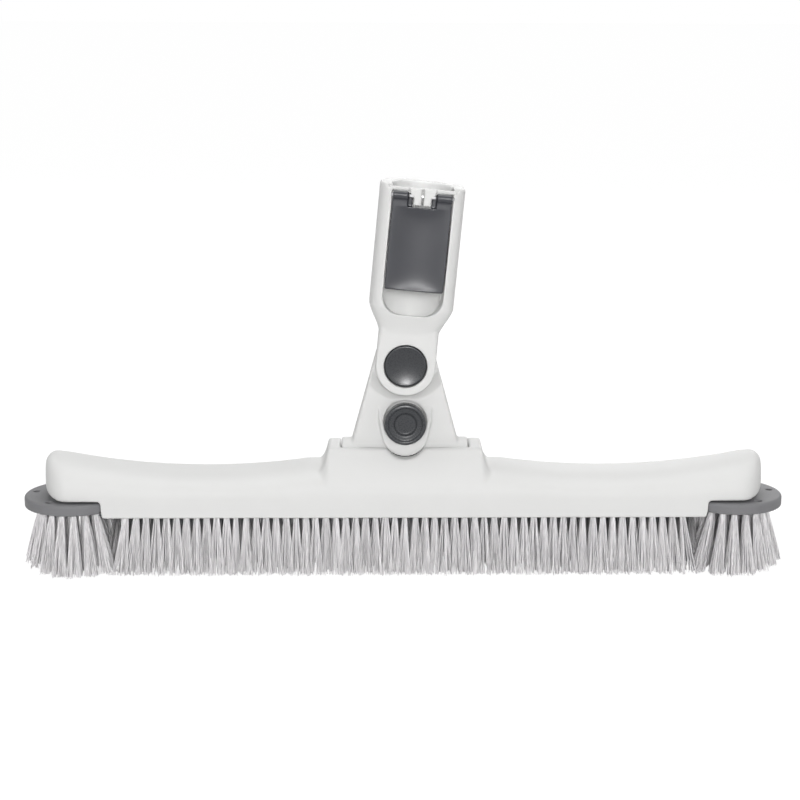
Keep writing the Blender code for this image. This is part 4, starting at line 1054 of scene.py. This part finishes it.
button_low, button_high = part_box("tilt_button")
button_front = button_low.y
button_travel = joints["tilt_button_press"]["range_m"][1]
button_back = -(TILT_BORE_FLOOR + button_travel + FIT)
button_profile = [(AXIS_HOLE, button_front + DISH_DEPTH)]
button_profile += [(DISH_RADIUS + out, button_front + down) for out, down in DISH_EDGE]
button_profile += [(BUTTON_RADIUS + out, button_front + down) for out, down in BUTTON_RIM]
button_profile += [
    (BUTTON_RADIUS, button_back - BUTTON_LEAD),
    (BUTTON_RADIUS - BUTTON_LEAD, button_back),
    (AXIS_HOLE, button_back),
]
ramp_start = bolt_low.y - RUN
ramp_end = button_high.y
stem_low = -STEM_HEIGHT / 2
stem_high = STEM_HEIGHT / 2
stem = [
    (button_back - FIT, stem_low),
    (ramp_end, stem_low),
    (ramp_end, stem_low + STEM_TIP),
    (ramp_start, stem_high),
    (button_back - FIT, stem_high),
]
tilt_button = moulded(
    "tilt_push_button",
    turned(button_profile, 128, "Y"),
    [(JOIN, prism(stem, -STEM_WIDTH / 2, STEM_WIDTH / 2, "X"))],
    BUTTON_VOXEL,
    place=Matrix.Translation((0.0, 0.0, hinge.z + TILT_BUTTON_RISE)),
)
tilt_button.data.materials.append(button_abs)
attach(tilt_button, "tilt_button")
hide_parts("tilt_button")
finish_node("tilt_bolt", graphite_abs)


def coil(radius, length, turns):
    """Spring of round wire, wound up the Z axis from the origin."""
    steps = 24 * turns
    sides = 10
    wire = circle((radius, 0.0), SPRING_WIRE / 2, sides)
    loops = []
    for k in range(steps + 1):
        angle = math.tau * turns * k / steps
        level = SPRING_WIRE / 2 + (length - SPRING_WIRE) * k / steps
        loops.append([(r * math.cos(angle), r * math.sin(angle), level + z) for r, z in wire])
    return loft(loops)


spring_length = spring_high.z - spring_low.z
spring_radius = (spring_high.y - spring_low.y - SPRING_WIRE) / 2
spring_middle = (spring_low + spring_high) / 2
bolt_coil = shape("bolt_coil", coil(spring_radius, spring_length, BOLT_SPRING_TURNS))
bolt_coil.data.transform(Matrix.Translation((spring_middle.x, spring_middle.y, spring_low.z)))
bolt_coil.data.materials.append(stainless)
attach(bolt_coil, "neck")
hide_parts("tilt_spring")
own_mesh(bolt_coil)


# Handle: the white upper moulding. Its round lower end swivels on the neck, its upper part is a socket
# for the pole, open in front for the lever, with two hooks and a crossbar that hold the lever's pin.

# Heights are measured from the swivel's axis, with the handle upright.
LOBE_FRONT = 0.0135
LOBE_SLOPE = 0.0034
SHOULDER = 0.0190
SHOULDER_BACK = 0.0090
SLAB_LAP = 0.0060
SOCKET_START = 0.0352
MOUTH = 0.1054
MOUTH_ROUND = 0.0012
SOCKET_HALF = 0.0245
SOCKET_FRONT = 0.0200
BORE_RADIUS = 0.0164
SOCKET_FLOOR = 0.0295
SUMP_FLOOR = 0.0232  # the floor is lower at the back, where the shoulder is thick
SUMP_BACK = 0.0035
SUMP_HALF = 0.0158
WINDOW_HALF = 0.0175
WINDOW_FLOOR = 0.0309
WINDOW_CORNER = 0.0110
WINDOW_BACK = 0.0020
SWIVEL_BUTTON_SUNK = 0.0008
SWIVEL_CAP = 0.0030
LOBE_FLOOR = 0.0024
PRONG_RADIUS = 0.0014
PRONG_CIRCLE = 0.0060
LUG_RADIUS = 0.0024
KNUCKLE_WIDTH = 0.0044
KNUCKLE_SLIT = 0.0012
KNUCKLE_FRONT = 0.0026
KNUCKLE_DROP = 0.0050
KNUCKLE_ROUND = 0.0012
KNUCKLE_FILLET = 0.0026
BAR_THICKNESS = 0.0022
RAIL_CHAMFER = 0.0036
LEVER_PIN_RADIUS = 0.0010
SECTION_FRONT = 0.4  # powers of the socket's section: a low one is square, 1 is round
SECTION_BACK = 0.95
SHOULDER_STRAIGHT = 0.6  # share of the shoulder's swell that is a straight slope
HANDLE_VOXEL = 0.0007
BRIDGE_VOXEL = 0.0003

lever_axis = joints["lever_lift"]["axis"]
lever_pin = Vector(joints["lever_lift"]["pos_m"])
handle_lean = math.atan2(lever_axis[2], -lever_axis[0])
handle_place = Matrix.Translation(pivot) @ Matrix.Rotation(handle_lean, 4, "Y")
pin_in_handle = handle_place.inverted() @ lever_pin
lever_pin_z = pin_in_handle.z
lever_pin_front = -pin_in_handle.y
swivel_travel = joints["swivel_button_press"]["range_m"][1]
swivel_bore_floor = -LOBE_FRONT + SWIVEL_BUTTON_SUNK + SWIVEL_CAP + swivel_travel + FIT
gear_front = swivel_bore_floor + LOBE_FLOOR + FIT
bar_low = lever_pin_z + LUG_RADIUS + RUN
bar_back = BORE_RADIUS + RUN / 2


def socket_section(level, half, front, back):
    """Section of the socket: squared front with room for the rails, round back."""
    steps = 120
    points = []
    for k in range(steps):
        angle = math.tau * k / steps
        power = SECTION_FRONT if math.sin(angle) < 0 else SECTION_BACK
        x = half * math.copysign(abs(math.cos(angle)) ** power, math.cos(angle))
        y = math.copysign(abs(math.sin(angle)) ** power, math.sin(angle))
        points.append((x, y * (front if y < 0 else back), level))
    return points


def socket_body():
    """Outside of the socket: a shoulder that swells out of the slab, straight sides and a soft rim."""
    steps = 24
    sections = []
    for k in range(steps + 1):
        share = k / steps
        smooth = SHOULDER_STRAIGHT * share + (1 - SHOULDER_STRAIGHT) * share**2 * (3 - 2 * share)
        round_back = math.sqrt(1 - (1 - share) ** 2)
        sections.append(
            socket_section(
                SHOULDER + (SOCKET_START - SHOULDER) * share,
                SLAB_HALF + (SOCKET_HALF - SLAB_HALF) * smooth,
                LOBE_FRONT + (SOCKET_FRONT - LOBE_FRONT) * smooth,
                SHOULDER_BACK + (SOCKET_HALF - SHOULDER_BACK) * round_back,
            )
        )
    sections.append(socket_section(MOUTH - MOUTH_ROUND, SOCKET_HALF, SOCKET_FRONT, SOCKET_HALF))
    rim = MOUTH_ROUND / 2
    sections.append(socket_section(MOUTH, SOCKET_HALF - rim, SOCKET_FRONT - rim, SOCKET_HALF - rim))
    return loft(sections)


def knuckle(side):
    """One of the two hooks that hold the lever's pin, run out into the crossbar by a fillet."""
    near = KNUCKLE_SLIT / 2
    far = near + KNUCKLE_WIDTH
    low = lever_pin_z - KNUCKLE_DROP
    fillet = arc((far + KNUCKLE_FILLET, bar_low - KNUCKLE_FILLET), KNUCKLE_FILLET, 180, 90, 8)
    top = MOUTH - MOUTH_ROUND
    outline = [(near, low), (far, low)] + fillet + [(far + KNUCKLE_FILLET, top), (near, top)]
    outline = [(side * x, z) for x, z in outline]
    return slab(outline, -lever_pin_front - KNUCKLE_FRONT, -bar_back, "Y", KNUCKLE_ROUND)


lobe = arc((0.0, 0.0), SLAB_HALF, 180, 360, 72)
lobe += [(SLAB_HALF, SHOULDER + SLAB_LAP), (-SLAB_HALF, SHOULDER + SLAB_LAP)]
window_corner = WINDOW_HALF - WINDOW_CORNER
window_right = arc((window_corner, WINDOW_FLOOR + WINDOW_CORNER), WINDOW_CORNER, 270, 360, 24)
window_left = [(-x, z) for x, z in reversed(window_right)]
over = MOUTH + WALL
window = window_right + [(WINDOW_HALF, over), (-WINDOW_HALF, over)] + window_left
sump_depth = BORE_RADIUS - SUMP_BACK
sump = [(SUMP_HALF * x, SUMP_BACK + sump_depth * y) for x, y in circle((0.0, 0.0), 1.0, 120)]
prong_places = arc((0.0, 0.0), PRONG_CIRCLE, 90, 330, 2)
bar_half = WINDOW_HALF + WALL / 2
post_end = tongue_back + FIT
handle_changes = [
    (JOIN, slab(lobe, -LOBE_FRONT, -SPLIT - FIT, "Y", LOBE_SLOPE, steps=6)),
    (CUT, prism(window, -2 * SOCKET_FRONT, -WINDOW_BACK, "Y")),
    (CUT, rod(BORE_RADIUS, SOCKET_FLOOR, over, "Z", sides=120)),
    (CUT, prism(sump, SUMP_FLOOR, SOCKET_START, "Z")),
    (CUT, rod(BUTTON_RADIUS + RUN, -2 * LOBE_FRONT, swivel_bore_floor, "Y", sides=96)),
    (CUT, rod(GEAR_TIP + RUN, gear_front - FIT, 0.0, "Y")),
]
handle_changes += [
    (CUT, rod(PRONG_RADIUS + RUN, swivel_bore_floor - FIT, gear_front, "Y", place, 32))
    for place in prong_places
]
chamfer_end = WINDOW_HALF + RAIL_CHAMFER + WALL
corner = [(WINDOW_HALF, MOUTH - RAIL_CHAMFER), (chamfer_end, over), (WINDOW_HALF, over)]
for side in (-1, 1):
    chamfer = prism([(side * x, z) for x, z in corner], -2 * SOCKET_FRONT, -bar_back + WALL, "Y")
    handle_changes.append((CUT, chamfer))
handle_changes.append((JOIN, rod(POST_RADIUS, swivel_bore_floor + LOBE_FLOOR / 2, post_end, "Y")))
handle = moulded("moulded_handle", socket_body(), handle_changes, HANDLE_VOXEL, place=handle_place)
crossbar = block(
    (-bar_half, -bar_back - BAR_THICKNESS, bar_low), (bar_half, -bar_back, MOUTH - MOUTH_ROUND)
)
hooks = [(JOIN, knuckle(-1)), (JOIN, knuckle(1))]
joined(handle, moulded("handle_bridge", crossbar, hooks, BRIDGE_VOXEL, place=handle_place))
handle.data.materials.append(white_abs)

# White ABS off a polished core pin: smoother than the grained outside. Its colour is taken paler as
# painted light, so that the bore looks nearly as light as the shell although little light gets in.
core_abs_painted_light = moulded_plastic(
    "core_abs_painted_light", "#F0F0EF", "#ECECEB", roughness=0.42, grain=GRAIN, depth=0.00001, ior=1.46
)

handle.data.materials.append(core_abs_painted_light)
# The bore's faces take the paler finish, which is painted light.
in_handle = handle_place.inverted()
for face in handle.data.polygons:
    at = in_handle @ face.center
    in_reach = SUMP_FLOOR - FIT < at.z < MOUTH - FIT and at.y > -WINDOW_BACK
    if in_reach and math.hypot(at.x, at.y) < BORE_RADIUS + 2 * RUN:
        face.material_index = 1
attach(handle, "handle")
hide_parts("handle_socket")


# Swivel button and its lock: a dark cap with a shallow plain dish, slightly sunk in its hole. Three
# prongs push a star gear out of mesh against a spring; a washer and a screw hold the handle's post.

CAP_ROUND = 0.0010
CAP_DISH = 0.0014
CAP_LIP = 0.0002  # flat between the dish and the round rim
GEAR_SPRING_TURNS = 3

cap_front = -LOBE_FRONT + SWIVEL_BUTTON_SUNK
cap_back = cap_front + SWIVEL_CAP
cap_rim = BUTTON_RADIUS - CAP_ROUND
dish_shares = [k / 12 for k in range(1, 12)]
cap_profile = [(cap_rim * share, cap_front + CAP_DISH * (1 - share**2)) for share in dish_shares]
cap_profile.append((cap_rim - CAP_LIP, cap_front))
cap_profile += [(cap_rim + x, cap_front + CAP_ROUND - y) for x, y in arc((0.0, 0.0), CAP_ROUND, 90, 0, 6)]
cap_profile.append((BUTTON_RADIUS, cap_back))
prongs = [
    (JOIN, rod(PRONG_RADIUS, cap_back - SWIVEL_CAP / 2, gear_front - FIT, "Y", place, 32))
    for place in prong_places
]
swivel_button = moulded(
    "swivel_push_button", turned(cap_profile, 128, "Y"), prongs, BUTTON_VOXEL, place=handle_place
)
swivel_button.data.materials.append(button_abs)
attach(swivel_button, "swivel_button")
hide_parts("swivel_button")
finish_node("swivel_gear", graphite_abs)
coil_length = coil_high.y - coil_low.y
coil_radius = (coil_high.x - coil_low.x - SPRING_WIRE) / 2
gear_coil = shape("gear_coil", coil(coil_radius, coil_length, GEAR_SPRING_TURNS))
to_back = Matrix.Rotation(-math.pi / 2, 4, "X")
gear_coil.data.transform(Matrix.Translation((pivot.x, coil_low.y, pivot.z)) @ to_back)
gear_coil.data.materials.append(stainless)
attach(gear_coil, "handle")
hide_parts("swivel_spring")
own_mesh(gear_coil)
finish_node("swivel_washer", stainless)

pivot_screw_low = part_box("swivel_screw")[0]
pivot_screw = grown(
    "pivot_screw",
    screw_tree,
    [(pivot.x, pivot_screw_low.y + SCREW_REACH, pivot.z)],
    {"Screw": screw_pattern, "Turn": to_front, "Metal": stainless},
)
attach(pivot_screw, "handle")
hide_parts("swivel_screw")


# Pole lever: the dark flip lever in the socket's window. It hangs on a steel pin from two lugs, its
# face is dished for the thumb, and a peg on its back drops into the pole's hole.

LEVER_GAP = 0.0006
LEVER_END = 0.0454
LEVER_FRONT = 0.0196
LEVER_BACK = 0.0169
LEVER_NOTCH = 0.0082
LEVER_NOTCH_DROP = 0.0063
NOTCH_SHADE_WEB = 0.0009  # thickness of the dark web beside the knuckles, a dark sheet put in for painted shade
NOTCH_SHADE_WEB_TOP = 0.0015
LEVER_DISH = 0.0016
LEVER_CORNER = 0.0012
DISH_FADE = 1.5  # how softly the dish runs out at its sides
DISH_END = 6  # how short it runs out at its two ends
FLANGE_WIDTH = 0.0014
FLANGE_BACK = 0.0100
PEG_RADIUS = 0.0032
PEG_TIP = 0.0124
PEG_HEIGHT = 0.0700
LEVER_VOXEL = 0.00035
LEVER_PASSES = 8

lever_half = WINDOW_HALF - LEVER_GAP
lever_end = LEVER_END - lever_pin_z
lever_front = lever_pin_front - LEVER_FRONT
lever_back = lever_pin_front - LEVER_BACK
lever_outline = arc((lever_half - LEVER_CORNER, lever_end + LEVER_CORNER), LEVER_CORNER, 270, 360, 16)
lever_outline += [(lever_half, 0.0), (LEVER_NOTCH, 0.0), (LEVER_NOTCH, -LEVER_NOTCH_DROP)]
lever_outline += [(-x, z) for x, z in reversed(lever_outline)]
lever_changes = []
for side in (-1, 1):
    low, high = sorted((side * LEVER_NOTCH, side * lever_half))
    lever_changes.append((JOIN, rod(LUG_RADIUS, low, high, "X")))
    low, high = sorted((side * (lever_half - FLANGE_WIDTH), side * (lever_half - FIT)))
    flange_low = (low, lever_back - FIT, lever_end + 2 * LEVER_CORNER)
    flange_high = (high, lever_pin_front - FLANGE_BACK, -2 * LEVER_NOTCH_DROP)
    lever_changes.append((JOIN, block(flange_low, flange_high)))
    # Behind each notch beside the knuckles, a thin dark web stands in for the shade seen through it.
    low, high = sorted((side * (KNUCKLE_SLIT / 2 + KNUCKLE_WIDTH + RUN), side * (LEVER_NOTCH + RUN)))
    shade_web_low = (low, lever_back - NOTCH_SHADE_WEB, -LEVER_NOTCH_DROP - RUN)
    lever_changes.append((JOIN, block(shade_web_low, (high, lever_back, NOTCH_SHADE_WEB_TOP))))
peg_tip = lever_pin_front - PEG_TIP
peg_taper = PEG_RADIUS / 3
peg = [(PEG_RADIUS, lever_back - FIT), (PEG_RADIUS, peg_tip - peg_taper), (PEG_RADIUS - peg_taper, peg_tip)]
lever_changes.append((JOIN, turned(peg, 48, "Y", (0.0, PEG_HEIGHT - lever_pin_z))))
lever_changes.append((CUT, rod(LEVER_PIN_RADIUS + FIT, -2 * WINDOW_HALF, 2 * WINDOW_HALF, "X", sides=32)))
lever_plate = prism(lever_outline, lever_front, lever_back, "Y")
lever = moulded("flip_lever", lever_plate, lever_changes, LEVER_VOXEL, LEVER_PASSES)
dish_middle = (lever_end - LEVER_NOTCH_DROP) / 2
dish_half = (-lever_end - LEVER_NOTCH_DROP) / 2
for vertex in lever.data.vertices:
    x, y, z = vertex.co
    if y < (lever_front + lever_back) / 2:
        across = max(1 - (x / lever_half) ** 2, 0.0)
        along_face = max(1 - ((z - dish_middle) / dish_half) ** DISH_END, 0.0)
        vertex.co.y += LEVER_DISH * across**DISH_FADE * along_face
lever.data.transform(handle_place @ Matrix.Translation(pin_in_handle))
lever.data.materials.append(graphite_abs)
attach(lever, "lever")
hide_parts("pole_lever")

pin_end = WINDOW_HALF + LEVER_GAP
pin_axis = (-lever_pin_front, lever_pin_z)
steel_pin = shape("steel_pin", rod(LEVER_PIN_RADIUS, -pin_end, pin_end, "X", pin_axis, 32))
steel_pin.data.transform(handle_place)
steel_pin.data.materials.append(stainless)
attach(steel_pin, "handle")
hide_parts("lever_pin")

bpy.data.objects.remove(screw_pattern, do_unlink=True)
bpy.data.objects.remove(small_pattern, do_unlink=True)


# Studio: a pale floor that reads as white paper, soft panels of light at both sides, in front, above
# and behind, a small one near the camera's line, and the camera at the photograph's low angle.

FLOOR_HALF = 60.0
FLOOR_THICKNESS = 0.01
GLOW_SHARE = 0.85  # how far the paper reads as white; the rest shows the shadow
PAPER_GLOW = 1.13
ROOM_LIGHT = 0.31
CAMERA_AIM = Vector((-0.0029, 0.0, 0.1009))
CAMERA_AZIMUTH = -1.2
CAMERA_ELEVATION = 12.9
CAMERA_ROLL = 0.2
CAMERA_DISTANCE = 1.0
FOCAL_LENGTH = 76.0  # in millimetres, as the frame's width is
FRAME_WIDTH = 36.0


def seen_rays(tree):
    """One for the rays that show the background: straight, mirrored or through something clear."""
    rays = add_node(tree, "ShaderNodeLightPath").outputs
    share = rays["Is Camera Ray"]
    for kind in ("Is Glossy Ray", "Is Transmission Ray"):
        share = add_node(tree, "ShaderNodeMath", {0: share, 1: rays[kind]}, operation="MAXIMUM").outputs[0]
    return share


floor = shape("floor", block((-FLOOR_HALF, -FLOOR_HALF, -FLOOR_THICKNESS), (FLOOR_HALF, FLOOR_HALF, 0.0)))
paper = bpy.data.materials.new("white_paper")
paper.use_nodes = True
paper_tree = paper.node_tree
paper_tree.nodes.clear()
glow_share = add_node(
    paper_tree, "ShaderNodeMath", {0: seen_rays(paper_tree), 1: GLOW_SHARE}, operation="MULTIPLY"
)
matt = add_node(paper_tree, "ShaderNodeBsdfDiffuse", {"Color": linear("#DEDEDE")})
glow = add_node(paper_tree, "ShaderNodeEmission", {"Color": (1, 1, 1, 1), "Strength": PAPER_GLOW})
sheet = add_node(
    paper_tree,
    "ShaderNodeMixShader",
    {0: glow_share.outputs[0], 1: matt.outputs["BSDF"], 2: glow.outputs["Emission"]},
)
add_node(paper_tree, "ShaderNodeOutputMaterial", {"Surface": sheet.outputs["Shader"]})
floor.data.materials.append(paper)

world = bpy.data.worlds.new("studio")
bpy.context.scene.world = world
world.use_nodes = True
world_tree = world.node_tree
world_tree.nodes.clear()
room = add_node(world_tree, "ShaderNodeBackground", {"Color": (1, 1, 1, 1), "Strength": ROOM_LIGHT})
backdrop = add_node(world_tree, "ShaderNodeBackground", {"Color": (1, 1, 1, 1), "Strength": 1.0})
world_mix = add_node(
    world_tree,
    "ShaderNodeMixShader",
    {0: seen_rays(world_tree), 1: room.outputs["Background"], 2: backdrop.outputs["Background"]},
)
add_node(world_tree, "ShaderNodeOutputWorld", {"Surface": world_mix.outputs["Shader"]})

# Place, width and height in metres, and power in watts.
panels = {
    "left_panel": ((-1.30, -1.30, 0.48), (0.8, 0.8), 4.0),
    "right_panel": ((1.30, -1.30, 0.42), (0.8, 0.8), 3.5),
    "front_panel": ((0.00, -2.00, 0.68), (1.7, 0.7), 7.0),
    "near_panel": ((0.00, -2.10, 0.62), (0.3, 0.3), 19.5),
    "top_panel": ((0.00, 0.30, 1.45), (1.0, 1.0), 12.0),
    "back_panel": ((0.40, 2.00, 0.70), (1.2, 0.7), 9.0),
}
for name, (place, (wide, high), power) in panels.items():
    lamp = bpy.data.lights.new(name, "AREA")
    lamp.shape = "RECTANGLE"
    lamp.size = wide
    lamp.size_y = high
    lamp.energy = power
    panel = bpy.data.objects.new(name, lamp)
    panel.location = place
    panel.rotation_euler = (CAMERA_AIM - Vector(place)).to_track_quat("-Z", "Y").to_euler()
    bpy.context.collection.objects.link(panel)

azimuth = math.radians(CAMERA_AZIMUTH)
elevation = math.radians(CAMERA_ELEVATION)
towards = Vector(
    (
        math.sin(azimuth) * math.cos(elevation),
        -math.cos(azimuth) * math.cos(elevation),
        math.sin(elevation),
    )
)
lens = bpy.data.cameras.new("camera")
lens.lens = FOCAL_LENGTH
lens.sensor_width = FRAME_WIDTH
camera = bpy.data.objects.new("camera", lens)
camera.location = CAMERA_AIM + CAMERA_DISTANCE * towards
level = (-towards).to_track_quat("-Z", "Y").to_matrix()
camera.rotation_euler = (level @ Matrix.Rotation(math.radians(CAMERA_ROLL), 3, "Z")).to_euler()
bpy.context.collection.objects.link(camera)
bpy.context.scene.camera = camera
bpy.context.scene.view_settings.view_transform = "Standard"
